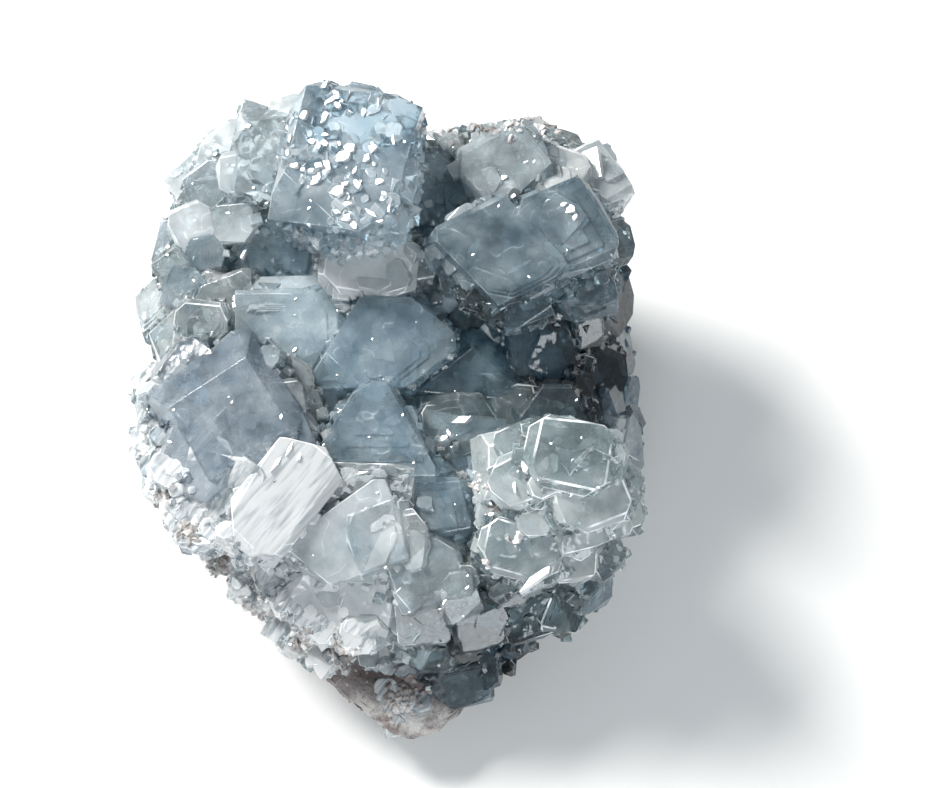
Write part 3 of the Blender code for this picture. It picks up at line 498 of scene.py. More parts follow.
    ("blue", 13.0, -30.6, 12.0, 3.4, 6.2, 5.8, 50, 318, 20, "roof"),
    ("haze", 9.2, -33.2, 9.8, 6.2, 5.6, 5.2, 50, 288, 5, "block"),
    ("clear", 16.8, -25.2, 15.0, 6.6, 5.8, 9.0, 44, 288, 15, "lens"),
    ("clear", 21.2, -24.0, 14.5, 6.2, 6.2, 9.0, 48, 310, -15, "lens"),
    ("haze", 24.4, -21.4, 14.5, 5.2, 5.4, 8.0, 50, 322, 12, "block"),
)]

# Smaller crystals of the looks alone, which round off what stands above or beside them
DRESSING = [Crystal(*row) for row in (
    # The broad smooth mass at the left goes on over its neighbours
    ("mass", -24.8, 4.2, 27.4, 8.5, 9.5, 9.0, 24, 172, 28, "block"),
    ("mass", -16.6, 5.4, 28.7, 8.0, 7.4, 8.0, 12, 62, 12, "lens"),
    ("mass", -23.4, -6.2, 27.6, 9.5, 8.4, 9.0, 24, 228, -20, "lens"),
    ("mass", -17.4, -7.4, 27.6, 7.0, 8.0, 8.0, 20, 262, 8, "block"),
    # Stubby crystals along its right side
    ("clear", -12.4, 1.4, 28.9, 5.2, 4.8, 7.0, 20, 340, 12, "lens"),
    ("milky", -11.4, -2.2, 28.2, 5.0, 4.4, 7.0, 22, 350, 30, "block"),
    ("clear", -13.8, 5.0, 28.6, 4.6, 4.4, 7.0, 18, 20, 5, "lens"),
    ("milky", -12.6, -4.6, 28.9, 5.0, 4.2, 7.0, 16, 300, 20, "lens"),
    # Hazy lumps to the left of the etched block
    ("milky", -17.6, 28.6, 31.6, 6.6, 5.6, 8.0, 18, 262, 10, "lens"),
    ("milky", -21.8, 26.8, 29.8, 6.4, 5.8, 8.0, 28, 246, 40, "lens"),
    ("milky", -23.8, 22.2, 27.6, 6.2, 5.4, 8.0, 32, 246, 20, "lens"),
    ("milky", -18.8, 22.6, 28.8, 5.8, 5.2, 7.0, 20, 230, 0, "lens"),
    ("clear", -26.2, 16.8, 24.0, 5.6, 5.2, 7.0, 40, 225, 25, "lens"),
    ("haze", -22.2, 18.8, 26.4, 5.2, 4.8, 7.0, 30, 255, 15, "lens"),
    # Rounded crystals of the stubby cluster
    ("bubble", 18.4, -9.1, 32.6, 3.4, 3.0, 5.0, 14, 250, 20, "lens"),
    ("bubble", 20.3, -1.9, 33.0, 4.4, 3.2, 6.0, 20, 100, 5, "lens"),
    ("bubble", 26.4, -4.8, 31.8, 3.8, 4.2, 6.0, 30, 20, 15, "lens"),
    ("bubble", 27.9, -7.4, 29.0, 3.8, 4.0, 6.0, 36, 10, 35, "lens"),
    ("bubble", 17.4, -13.6, 28.4, 4.2, 3.2, 6.0, 20, 260, 10, "lens"),
    ("bubble", 22.4, -16.4, 25.4, 3.8, 3.0, 6.0, 30, 290, -15, "lens"),
    ("bubble", 13.8, -9.9, 29.3, 3.4, 3.8, 6.0, 22, 220, 0, "lens"),
    ("bubble", 13.2, -3.7, 29.6, 4.0, 3.4, 6.0, 18, 140, 25, "lens"),
    ("bubble", 20.4, -12.6, 29.6, 3.6, 3.2, 6.0, 16, 270, 30, "lens"),
    ("bubble", 8.4, -21.0, 22.6, 3.6, 3.2, 6.0, 26, 270, 10, "lens"),
    ("bubble", 14.6, -22.2, 20.6, 3.6, 3.0, 6.0, 34, 280, 0, "lens"),
)]


def seen_at(u, v, z):
    """The point at height z that is seen at (u, v), in millimetres."""
    sight = VIEW_CENTRE + VIEW_RIGHT * u + VIEW_UP * v - VIEW_EYE
    return VIEW_EYE + sight * ((z - VIEW_EYE.z) / sight.z)


def facing(tilt, toward):
    """The unit direction of a face that is tilted from the level toward one side."""
    lean = math.sin(math.radians(tilt))
    side = math.radians(toward)
    return Vector((lean * math.cos(side), lean * math.sin(side), math.cos(math.radians(tilt))))


def leaning(chance, least, most):
    """A direction that is tilted from straight up, toward any side."""
    return facing(chance.uniform(least, most), chance.uniform(0, 360))


def sway(chance, reach, rise=0.0):
    """A random step to one side."""
    return Vector((chance.uniform(-reach, reach), chance.uniform(-reach, reach), rise))


def place_in(box, chance):
    """A random place in a box, which is given by its limits along x, y and z."""
    return Vector([chance.uniform(*limits) for limits in box])


def ray_way(side, lift):
    """The unit direction at a bearing and a height above the level, both in radians."""
    return Vector((math.cos(side) * math.cos(lift), math.sin(side) * math.cos(lift), math.sin(lift)))


def cut_block(solid, bearing, rise, share, half_width, half_length):
    """Takes off the corner of a block that looks along one direction; a share of 1 reaches its top centre."""
    normal = facing(90 - rise, bearing)
    reach = abs(normal.x) * half_width + abs(normal.y) * half_length
    geometry = solid.verts[:] + solid.edges[:] + solid.faces[:]
    bmesh.ops.bisect_plane(
        solid, geom=geometry, plane_co=normal * reach * (1 - share), plane_no=normal, clear_outer=True
    )
    bmesh.ops.holes_fill(solid, edges=[edge for edge in solid.edges if edge.is_boundary])


def drifted(habit, chance):
    """A habit's cuts, each turned and deepened a little, so that no two crystals are alike."""
    return [
        (
            bearing + chance.uniform(-HABIT_DRIFT, HABIT_DRIFT),
            max(0.0, rise + chance.uniform(-HABIT_DRIFT, HABIT_DRIFT)),
            share * chance.uniform(*SHARE_DRIFT),
        )
        for bearing, rise, share in HABITS[habit]
    ]


def nicks(chance):
    """Small extra faces on the corners of a crystal."""
    return [
        (chance.uniform(0, 360), chance.uniform(*NICK_RISE), chance.uniform(*NICK_SHARE))
        for _ in range(chance.randint(*NICKS))
    ]


def block(size, cuts):
    """A cut block in its own frame, in millimetres, with its top face at z 0 on its axis."""
    width, length, depth = size
    solid = bmesh.new()
    bmesh.ops.create_cube(solid, size=1.0)
    bmesh.ops.scale(solid, vec=size, verts=solid.verts)
    bmesh.ops.translate(solid, vec=(0, 0, -depth / 2), verts=solid.verts)
    for bearing, rise, share in cuts:
        cut_block(solid, bearing, rise, share, width / 2, length / 2)
    bmesh.ops.remove_doubles(solid, verts=solid.verts, dist=WELD)
    return solid


def chamfered(solid, width):
    """A narrow face along every edge of a block, which catches the light."""
    # The narrow faces are marked for a paler colour in the material: partly wear, partly a painted highlight
    edge = solid.faces.layers.float.new("edge")
    bevelled = bmesh.ops.bevel(
        solid, geom=solid.edges[:], offset=width, offset_type="OFFSET", segments=1, profile=0.5,
        affect="EDGES", clamp_overlap=True,
    )
    for face in bevelled["faces"]:
        face[edge] = 1.0
    bmesh.ops.remove_doubles(solid, verts=solid.verts, dist=CHAMFER_WELD)
    return solid


def chamfer_of(body):
    """How wide the narrow edge faces of a crystal are; the material paints them paler, partly as wear and
    partly as a painted highlight.
    """
    least, most = CHAMFER_LIMITS[body.look]
    return min(max(CHAMFER * min(body.size[:2]), least), most)


def pose(place, way, turn):
    """The matrix that puts a block's top face at a place, looking one way."""
    rotation = UP.rotation_difference(way) @ Quaternion(UP, math.radians(turn))
    return Matrix.Translation(place) @ rotation.to_matrix().to_4x4()


def pose_of(each):
    """The matrix of a crystal of the tables."""
    return pose(seen_at(each.u, each.v, each.z), facing(each.tilt, each.toward), each.turn)


# One crystal as it will be built: its look, its own shade of it, its size, cuts and place
Body = namedtuple("Body", "look tone size cuts matrix")


def near_tone(body, chance, drift):
    """A shade close to that of a crystal."""
    return min(max(body.tone + chance.uniform(-drift, drift), 0.0), 1.0)


def dressing_bodies():
    """The crystals that only the looks have."""
    chance = random.Random(DRESSING_SEED)
    bodies = []
    for each in DRESSING:
        cuts = drifted(each.habit, chance) + nicks(chance) + nicks(chance)
        size = (each.width, each.length, each.depth)
        bodies.append(Body(each.look, chance.random(), size, cuts, pose_of(each)))
    return bodies


def named_bodies():
    """The crystals of the table."""
    chance = random.Random(HABIT_SEED)
    extra = random.Random(DETAIL_SEED)
    bodies = []
    for each in CRYSTALS:
        cuts = drifted(each.habit, chance) if isinstance(each.habit, str) else list(each.habit)
        cuts += nicks(extra)
        if each.look == "white" and each.width > POINTED_RATIO * each.length:
            cuts += POINTED_END
        growth = RIM_GROWTH if math.hypot(each.u, each.v) > RIM_RADIUS else GROWTH
        size = (each.width + growth, each.length + growth, each.depth)
        bodies.append(Body(each.look, extra.random(), size, cuts, pose_of(each)))
    return bodies


ANCHORS = [(seen_at(crystal.u, crystal.v, crystal.z), crystal.z) for crystal in CRYSTALS]


def ground(x, y):
    """Height of the crust between the crystals: a smooth surface a little below their tops."""
    total = 0.0
    weight = 0.0
    for anchor, top in ANCHORS:
        near = math.exp(-((x - anchor.x) ** 2 + (y - anchor.y) ** 2) / (2 * SMOOTHING**2)) + 1e-9
        total += near * (top - CRYSTAL_RISE)
        weight += near
    return total / weight


def rim_at(rim, bearing):
    """Radius and height of an outline at one bearing."""
    marks = sorted((math.atan2(y, x) % math.tau, math.hypot(x, y), z) for x, y, z in rim)
    last = (marks[-1][0] - math.tau,) + marks[-1][1:]
    first = (marks[0][0] + math.tau,) + marks[0][1:]
    marks = [last] + marks + [first]
    for (start, radius, height), (end, next_radius, next_height) in zip(marks, marks[1:]):
        if start <= bearing <= end:
            share = (bearing - start) / (end - start)
            return radius + (next_radius - radius) * share, height + (next_height - height) * share
    raise ValueError("bearing outside the outline")


def crust_body():
    """The lumpy body that the crystals are rooted in."""
    body = bmesh.new()
    bmesh.ops.create_icosphere(body, subdivisions=3, radius=1.0)
    for vert in body.verts:
        direction = vert.co.normalized()
        level = math.hypot(direction.x, direction.y)
        radius, height = rim_at(CRUST_RIM, math.atan2(direction.y, direction.x) % math.tau)
        reach = radius * level**CRUST_POWER
        length = max(level, 1e-6)
        x = reach * direction.x / length
        y = reach * direction.y / length
        end = ground(x, y) if direction.z > 0 else CRUST_BOTTOM
        z = height + (end - height) * abs(direction.z) ** CRUST_POWER
        place = Vector((x, y, z))
        vert.co = (place + direction * noise.noise(place * CRUST_WAVES) * CRUST_RELIEF) * MM
    for _ in range(WORN_PASSES):
        bmesh.ops.smooth_vert(
            body, verts=body.verts, factor=0.5, use_axis_x=True, use_axis_y=True, use_axis_z=True
        )
    body.normal_update()
    return body


def nearest_look(place):
    """The look of the named crystal whose place is nearest."""
    nearest = min(zip(ANCHORS, CRYSTALS), key=lambda pair: (pair[0][0] - place).length_squared)
    return nearest[1].look


def filler_bodies(crust):
    """The small crystals of the solids, which stand between the named ones."""
    chance = random.Random(FILLER_SEED)
    extra = random.Random(DETAIL_SEED)
    faces = list(crust.faces)
    chance.shuffle(faces)
    taken = [
        (anchor, FILLER_CLEARANCE * (each.width + each.length))
        for (anchor, _), each in zip(ANCHORS, CRYSTALS)
    ]
    bodies = []
    for face in faces:
        place = face.calc_center_median() / MM
        if face.normal.z < FILLER_UNDERSIDE or place.z < FILLER_LOWEST:
            continue
        if any((place - other).length < keep for other, keep in taken):
            continue
        taken.append((place, FILLER_SPACING))
        size = chance.uniform(*FILLER_SIZE)
        way = face.normal + sway(chance, *FILLER_LEAN)
        way.normalize()
        cuts = drifted(chance.choice(FILLER_HABITS), chance)
        shape = (size * chance.uniform(*FILLER_STRETCH), size, size * FILLER_DEPTH)
        matrix = pose(place + way * FILLER_OUT * size, way, chance.uniform(0, 360))
        bodies.append(Body(nearest_look(place), extra.random(), shape, cuts + nicks(extra), matrix))
    return bodies


def parallel_bodies(body, chance):
    """Small crystals grown parallel to a big one on its walls, a little below its top."""
    solid = block(body.size, body.cuts)
    tree = BVHTree.FromBMesh(solid)
    solid.free()
    width, length, depth = body.size
    grown = []
    for _ in range(int((width + length) * 2 / PARALLEL_SPACING)):
        angle = chance.uniform(0, math.tau)
        level = -depth * chance.uniform(*PARALLEL_LEVEL)
        outward = Vector((math.cos(angle), math.sin(angle), 0))
        aside = chance.uniform(-PARALLEL_ASIDE, PARALLEL_ASIDE) * width
        start = outward * (width + length) + Vector((aside, 0, level))
        size = min(PARALLEL_LARGEST, min(width, length) * chance.uniform(*PARALLEL_SIZE))
        way = leaning(chance, *PARALLEL_TILT)
        cuts = drifted(chance.choice(SMALL_HABITS), chance)
        shape = (size * chance.uniform(*PARALLEL_STRETCH), size, size * chance.uniform(*PARALLEL_DEPTH))
        turn = chance.uniform(-PARALLEL_TURN, PARALLEL_TURN)
        tone = near_tone(body, chance, PARALLEL_TONE)
        hit = tree.ray_cast(start, -outward)[0]
        if hit is None:
            continue
        place = hit - outward * PARALLEL_SUNK * size
        grown.append(Body(body.look, tone, shape, cuts, body.matrix @ pose(place, way, turn)))
    return grown


def inside(body, place, margin):
    """Whether a place lies in a crystal's block, which is grown by a margin."""
    local = body.matrix.inverted() @ place
    width, length, depth = body.size
    return (
        abs(local.x) < width / 2 + margin and abs(local.y) < length / 2 + margin and -depth < local.z < margin
    )


def bridge_bodies(bodies):
    """Middle-sized crystals in the gaps between neighbours, a little lower than both."""
    chance = random.Random(BRIDGE_SEED)
    grown = []
    pairs = [(one, two) for index, one in enumerate(bodies) for two in bodies[index + 1:]]
    for one, two in pairs:
        start = one.matrix.translation
        end = two.matrix.translation
        reach_one = (one.size[0] + one.size[1]) / 4
        reach_two = (two.size[0] + two.size[1]) / 4
        gap = (end - start).length - reach_one - reach_two
        if gap > BRIDGE_GAP or abs(start.z - end.z) > BRIDGE_DROP:
            continue
        for _ in range(BRIDGES):
            width = max(gap, 0.0)
            share = (reach_one + width * chance.uniform(*BRIDGE_SHARE)) / (reach_one + reach_two + width)
            size = chance.uniform(*BRIDGE_SIZE)
            place = start.lerp(end, share) + sway(chance, 1) * BRIDGE_ASIDE
            place.z = min(start.z, end.z) - chance.uniform(*BRIDGE_SUNK)
            way = (one.matrix.col[2].xyz + two.matrix.col[2].xyz).normalized()
            way = (way + sway(chance, BRIDGE_LEAN)).normalized()
            cuts = drifted(chance.choice(SMALL_HABITS + ("lens",)), chance) + nicks(chance)
            shape = (size * chance.uniform(*BRIDGE_STRETCH), size, size * BRIDGE_DEPTH)
            turn = chance.uniform(0, 360)
            tone = chance.random()
            look = chance.choice((one.look, two.look))
            if any(inside(other, place, BRIDGE_CLEAR) for other in bodies):
                continue
            look = "milky" if look == "white" else look
            grown.append(Body(look, tone, shape, cuts, pose(place, way, turn)))
    return grown


def cap_bodies(body, chance):
    """Smaller blocks that stand a little out of a crystal's top and break it into several faces."""
    caps = []
    width, length, _ = body.size
    for _ in range(chance.randint(*CAPS[body.look])):
        size = min(width, length) * chance.uniform(*CAP_SIZE)
        x = chance.uniform(-CAP_ASIDE, CAP_ASIDE) * width
        y = chance.uniform(-CAP_ASIDE, CAP_ASIDE) * length
        place = Vector((x, y, chance.uniform(*CAP_RISE)))
        way = leaning(chance, *CAP_TILT)
        cuts = drifted(chance.choice(("block", "lens", "rhomb")), chance) + nicks(chance)
        shape = (size * chance.uniform(*CAP_STRETCH), size, size * CAP_DEPTH)
        tone = near_tone(body, chance, CAP_TONE)
        matrix = body.matrix @ pose(place, way, chance.uniform(0, 90))
        caps.append(Body(body.look, tone, shape, cuts, matrix))
    return caps


def etched_bodies(body):
    """The etched surface of the big block: many small tilted faces round the bright flakes."""
    chance = random.Random(ETCH_SEED)
    corners, faces, _ = surface_of([body])
    tree = BVHTree.FromPolygons(corners, faces)
    grown = []
    for u, v in [flake[:2] for flake in FLAKES for _ in range(ETCHED)]:
        aside = (chance.gauss(0, ETCHED_ASIDE), chance.gauss(0, ETCHED_ASIDE))
        place, normal = first_seen(tree, u + aside[0], v + aside[1])
        size = chance.uniform(*ETCHED_SIZE)
        lean = leaning(chance, *ETCHED_TILT)
        cuts = drifted(chance.choice(("rhomb", "lens", "roof")), chance)
        shape = (size * chance.uniform(*ETCHED_STRETCH), size, size)
        rise = chance.uniform(*ETCHED_RISE)
        turn = chance.uniform(0, 360)
        tone = chance.random()
        if place is not None:
            way = (normal + lean - UP).normalized()
            grown.append(Body(body.look, tone, shape, cuts, pose(place + normal * rise, way, turn)))
    return grown


def scattered(tree, rows, chance):
    """Places that are seen round the middle of each row, as many as it says, and their directions."""
    for u, v, reach, count in rows:
        for _ in range(count):
            yield first_seen(tree, u + chance.gauss(0, reach / 2), v + chance.gauss(0, reach / 2))


def rim_bodies(tree, chance):
    """A white crust of tiny crystals along the broken rim, where the crystals end on the rock."""
    grown = []
    for place, normal in scattered(tree, RIM_CRUST, chance):
        size = chance.uniform(*RIM_SIZE)
        way = leaning(chance, *RIM_TILT)
        cuts = drifted(chance.choice(("lens", "lens", "roof", "point")), chance)
        shape = (size * chance.uniform(*RIM_STRETCH), size, size * RIM_DEPTH)
        turn = chance.uniform(0, 360)
        tone = chance.random()
        if place is not None:
            way = (way + normal).normalized()
            grown.append(Body("white", tone, shape, cuts, pose(place + way * RIM_OUT * size, way, turn)))
    return grown


def veil_solids(body, chance):
    """Thin milky sheets inside a big clear crystal."""
    wide, long, depth = body.size
    sheets = []
    for _ in range(chance.randint(*VEILS)):
        x = chance.uniform(-VEIL_ASIDE, VEIL_ASIDE) * wide
        y = chance.uniform(-VEIL_ASIDE, VEIL_ASIDE) * long
        place = Vector((x, y, -depth * chance.uniform(*VEIL_DEPTH)))
        way = leaning(chance, *VEIL_TILT)
        reach = min(wide, long) * chance.uniform(*VEIL_REACH)
        turn = chance.uniform(0, 360)
        length = reach * chance.uniform(*VEIL_STRETCH)
        sheet = patch(place, way, length, reach, turn, chance, 0.0, VEIL_THICKNESS)
        bmesh.ops.transform(
            sheet, matrix=Matrix.Scale(MM, 4) @ body.matrix @ Matrix.Scale(1 / MM, 4), verts=sheet.verts
        )
        sheets.append(sheet)
    return sheets


def world_solid(solid, matrix):
    """Moves a solid in millimetres to its place in the world, in metres."""
    bmesh.ops.transform(solid, matrix=Matrix.Scale(MM, 4) @ matrix, verts=solid.verts)
    return solid


def add_surface(corners, faces, points, outlines):
    """Adds a mesh's points and the point numbers of its faces to the lists of a surface."""
    first = len(corners)
    corners += points
    faces += [[first + index for index in outline] for outline in outlines]


def mesh_outlines(solid):
    """The point numbers of each face of a bmesh."""
    return [[vert.index for vert in face.verts] for face in solid.faces]


def surface_of(bodies):
    """One surface in millimetres for looking up where a ray meets the bodies, and whose face is whose."""
    corners = []
    faces = []
    owners = []
    for body in bodies:
        solid = block(body.size, body.cuts)
        add_surface(corners, faces, [body.matrix @ vert.co for vert in solid.verts], mesh_outlines(solid))
        owners += [body] * len(solid.faces)
        solid.free()
    return corners, faces, owners


def joined_surface(bodies, crust, rock=None):
    """The surface of all bodies, of the crust between them and, if given, of the rock."""
    corners, faces, owners = surface_of(bodies)
    add_surface(corners, faces, [vert.co / MM for vert in crust.verts], mesh_outlines(crust))
    owners += [None] * len(crust.faces)
    if rock is not None:
        outlines = [face.vertices for face in rock.polygons]
        add_surface(corners, faces, [vert.co / MM for vert in rock.vertices], outlines)
        owners += [None] * len(outlines)
    return BVHTree.FromPolygons(corners, faces), owners


def closeness(tree, place, normal):
    """How many neighbours stand close round a place, and how far they are on average."""
    start = place + normal * CREVICE_RAY_START
    gaps = []
    for step in range(CREVICE_RAYS):
        side = math.tau * step / CREVICE_RAYS
        way = Vector((math.cos(side), math.sin(side), CREVICE_RAY_RISE)).normalized()
        distance = tree.ray_cast(start, way, CREVICE_WIDTH)[3]
        if distance is not None:
            gaps.append(distance)
    return len(gaps), sum(gaps) / max(len(gaps), 1)


def crevice_bodies(crust, bodies):
    """Small crystals that fill the crevices between larger ones and cover the open crust."""
    chance = random.Random(CREVICE_SEED)
    tree, owners = joined_surface(bodies, crust)
    cells = {}
    grown = []
    for _ in range(CREVICE_TRIES):
        side = chance.uniform(0, math.tau)
        way = ray_way(side, math.asin(chance.uniform(*CREVICE_LIFT)))
        aim = place_in(CREVICE_AIM, chance)
        place, normal, index, _ = tree.ray_cast(aim + way * FAR, -way)
        size = chance.uniform(*CREVICE_SIZE)
        stretch = chance.uniform(*CREVICE_STRETCH)
        turn = chance.uniform(0, 360)
        tone = chance.random()
        habit = chance.choice(SMALL_HABITS)
        lean = sway(chance, *CREVICE_LEAN)
        cuts = drifted(habit, chance)
        if place is None or place.z < CREVICE_LOWEST:
            continue
        owner = owners[index]
        close, gap = closeness(tree, place, normal)
        if owner is not None and close < CREVICE_CLOSE:
            continue
        if close >= CREVICE_CLOSE:
            size = min(size, max(CREVICE_SIZE[0], gap * CREVICE_FIT))
        cell = tuple(int(coordinate // CREVICE_CELL) for coordinate in place)
        near = [
            other
            for x in (-1, 0, 1) for y in (-1, 0, 1) for z in (-1, 0, 1)
            for other in cells.get((cell[0] + x, cell[1] + y, cell[2] + z), ())
        ]
        if any((place - other).length < CREVICE_SPACING * (size + reach) for other, reach in near):
            continue
        cells.setdefault(cell, []).append((place, size))
        out = (normal * CREVICE_NORMAL + lean).normalized()
        look = owner.look if owner is not None else nearest_look(place)
        if chance.random() < CREVICE_CLEAR:
            look = "druse"
        shape = (size * stretch, size, size * CREVICE_DEPTH)
        grown.append(Body(look, tone, shape, cuts, pose(place + out * CREVICE_OUT * size, out, turn)))
    return grown


def new_object(name, solid, smooth=False):
    """A bmesh as an object of the scene."""
    bmesh.ops.recalc_face_normals(solid, faces=solid.faces)
    mesh = bpy.data.meshes.new(name)
    solid.to_mesh(mesh)
    solid.free()
    if smooth:
        mesh.shade_smooth()
    made = bpy.data.objects.new(name, mesh)
    bpy.context.scene.collection.objects.link(made)
    return made


def fused(name, solids):
    """Overlapping closed solids joined into one closed mesh."""
    helpers = bpy.data.collections.new("helpers")
    bpy.context.scene.collection.children.link(helpers)
    made = new_object(name, solids[0])
    skipped = 0
    for solid in solids[1:]:
        bmesh.ops.recalc_face_normals(solid, faces=solid.faces)
        if not all(edge.is_manifold for edge in solid.edges) or solid.calc_volume() <= 0:
            solid.free()
            skipped += 1
            continue
        mesh = bpy.data.meshes.new("grown")
        solid.to_mesh(mesh)
        solid.free()
        helpers.objects.link(bpy.data.objects.new("grown", mesh))
    change = made.modifiers.new("union", "BOOLEAN")
    change.operation = "UNION"
    change.solver = "MANIFOLD"
    change.operand_type = "COLLECTION"
    change.collection = helpers
    bpy.context.view_layer.update()
    mesh = bpy.data.meshes.new_from_object(made.evaluated_get(bpy.context.evaluated_depsgraph_get()))
    made.modifiers.clear()
    made.data = mesh
    for helper in list(helpers.objects):
        bpy.data.objects.remove(helper, do_unlink=True)
    bpy.data.collections.remove(helpers)
    print(name, "of", len(solids), "skipped", skipped, flush=True)
    return made


def tint_and_painted_shade_at(place):
    """How much paler, or deeper if below 0, the crystals are painted at a place: partly real tint, partly
    painted shade and painted light.
    """
    u = (place - VIEW_CENTRE).dot(VIEW_RIGHT)
    v = (place - VIEW_CENTRE).dot(VIEW_UP)
    return sum(
        amount * math.exp(-((u - at_u) ** 2 + (v - at_v) ** 2) / reach**2)
        for at_u, at_v, reach, amount in TINTS_AND_PAINTED_SHADES
    )


def with_tone_and_painted_shade(solid, body):
    """Gives all faces of a solid their crystal's random tone plus the tint and painted shade of its place."""
    layer = solid.faces.layers.float.new("tone")
    # The random tone plus the place's real tint and its painted shade or painted light
    tone = (2 * body.tone - 1) * TONE_RANGE + tint_and_painted_shade_at(body.matrix.translation)
    for face in solid.faces:
        face[layer] = tone
    return solid


def detailed(body):
    """A crystal's closed solid in the world, with chamfered edges that carry the white of wear and a painted
    highlight.
    """
    solid = with_tone_and_painted_shade(chamfered(block(body.size, body.cuts), chamfer_of(body)), body)
    return world_solid(solid, body.matrix)


def plate(corners, normal, rise, root):
    """A thin closed plate over an outline: it stands a little above it and is rooted below it."""
    solid = bmesh.new()
    low = [solid.verts.new(corner - normal * root) for corner in corners]
    base = solid.faces.new(low)
    grown = bmesh.ops.extrude_face_region(solid, geom=[base])["geom"]
    moved = [item for item in grown if isinstance(item, bmesh.types.BMVert)]
    bmesh.ops.translate(solid, vec=normal * (root + rise), verts=moved)
    bmesh.ops.recalc_face_normals(solid, faces=solid.faces)
    return solid


def step_plates(body, chance):
    """Growth steps: thin layers with the outline of a big crystal's face, each smaller than the one below."""
    if body.look in STEPLESS:
        return []
    solid = block(body.size, body.cuts)
    bmesh.ops.transform(solid, matrix=body.matrix, verts=solid.verts)
    solid.normal_update()
    plates = []
    for face in solid.faces:
        if face.calc_area() < STEP_AREA or face.normal.z < STEP_LEVEL:
            continue
        middle = face.calc_center_median()
        rise = 0.0
        scale = 1.0
        anchor = chance.choice(list(face.verts)).co.lerp(middle, chance.uniform(*STEP_CORNER))
        for _ in range(chance.randint(*STEPS)):
            rise += chance.uniform(*STEP_RISE)
            scale *= chance.uniform(*STEP_SCALE)
            anchor = anchor.lerp(middle, chance.uniform(*STEP_SHIFT))
            corners = [anchor + (vert.co - anchor) * scale for vert in face.verts]
            layer = with_tone_and_painted_shade(chamfered(plate(corners, face.normal, rise, STEP_ROOT), STEP_CHAMFER), body)
            bmesh.ops.scale(layer, vec=(MM, MM, MM), verts=layer.verts)
            plates.append(layer)
    solid.free()
    return plates


def flashing(place, chance, turned):
    """The direction in which a small mirror at a place sends the key's light near the photograph's viewer."""
    to_lamp = (Vector(KEY_PLACE) / MM - place).normalized()
    to_eye = (VIEW_EYE - place).normalized()
    return ((to_lamp + to_eye).normalized() + sway(chance, turned)).normalized()


def patch(place, way, length, width, turn, chance, rise=0.05, root=0.5):
    """A small irregular closed plate at a place, facing one way."""
    count = chance.randint(*PATCH_CORNERS)
    matrix = pose(Vector((0, 0, 0)), way, turn)
    corners = []
    for step in range(count):
        angle = math.tau * (step + chance.uniform(-PATCH_UNEVEN, PATCH_UNEVEN)) / count
        reach = chance.uniform(*PATCH_REACH) / 2
        corner = Vector((math.cos(angle) * length * reach, math.sin(angle) * width * reach, 0))
        corners.append(place + matrix @ corner)
    solid = plate(corners, way, rise, root)
    bmesh.ops.scale(solid, vec=(MM, MM, MM), verts=solid.verts)
    return solid


def look_up(pieces):
    """One surface in millimetres of several finished pieces, for finding what is seen where."""
    corners = []
    faces = []
    for mesh in [piece.data for piece in pieces]:
        outlines = [face.vertices for face in mesh.polygons]
        add_surface(corners, faces, [vert.co / MM for vert in mesh.vertices], outlines)
    return BVHTree.FromPolygons(corners, faces)


def first_seen(tree, u, v):
    """The point of the surface that is seen at (u, v), and the surface's direction there."""
    way = (seen_at(u, v, 20.0) - VIEW_EYE).normalized()
    place, normal, _, _ = tree.ray_cast(VIEW_EYE, way)
    return place, normal


def glint_solids(tree, chance):
    """The etched flakes on the big block and the small mirror faces that flash elsewhere."""
    solids = []
    for u, v, length, width, turn in FLAKES + GLINTS:
        place, _ = first_seen(tree, u, v)
        if place is None:
            continue
        way = flashing(place, chance, chance.choice(GLINT_TURNED))
        rise = GLINT_RISE[0] + GLINT_RISE[1] * width
        solids.append(patch(place, way, length * GLINT_SCALE, width * GLINT_SCALE, turn, chance, rise))
    for _ in range(GLITTER):
        place, normal = first_seen(tree, chance.uniform(*GLITTER_U), chance.uniform(*GLITTER_V))
        size = chance.uniform(*GLITTER_SIZE)
        length = size * chance.uniform(*GLITTER_STRETCH)
        turn = chance.uniform(0, 360)
        if place is None or normal.z < GLITTER_LEVEL:
            continue
        solids.append(patch(place, flashing(place, chance, GLITTER_TURNED), length, size, turn, chance))
    return solids


def joined(name, solids):
    """Separate closed solids in one object."""
    whole = bmesh.new()
    for solid in solids:
        mesh = bpy.data.meshes.new("part")
        solid.to_mesh(mesh)
        solid.free()
        whole.from_mesh(mesh)
        bpy.data.meshes.remove(mesh)
    return new_object(name, whole)


def crumb(place, size, chance):
    """One small angular grain of rock."""
    solid = bmesh.new()
    bmesh.ops.create_icosphere(solid, subdivisions=1, radius=size / 2)
    shift = place_in(CRUMB_SHIFT, chance)
    for vert in solid.verts:
        vert.co *= 1.0 + CRUMB_ROUGH * noise.noise(vert.co * (CRUMB_WAVES / size) + shift)
    for _ in range(CRUMB_CUTS):
        bearing = chance.uniform(0, 360)
        rise = chance.uniform(*CRUMB_CUT_RISE)
        cut_block(solid, bearing, rise, chance.uniform(*CRUMB_CUT_SHARE), size / 3, size / 3)
    return world_solid(solid, pose(place, leaning(chance, 0, 180), 0))


def crumb_solids(tree, rock_tree, chance):
    """Grains of rock: in the gully and along the rims, and all over the open rock."""
    solids = []
    for place, normal in scattered(tree, CRUMBS, chance):
        size = chance.uniform(*CRUMB_SIZE)
        if place is not None:
            solids.append(crumb(place - normal * CRUMB_SUNK * size, size, chance))
    for _ in range(GRAINS):
        way = ray_way(chance.uniform(*GRAIN_SIDE), chance.uniform(*GRAIN_LIFT))
        place = rock_tree.ray_cast(place_in(GRAIN_AIM, chance) + way * FAR, -way)[0]
        size = chance.uniform(*GRAIN_SIZE) * chance.uniform(*GRAIN_SHRINK)
        if place is not None and place.z > GRAIN_LOWEST:
            solids.append(crumb(place, size, chance))
    return solids


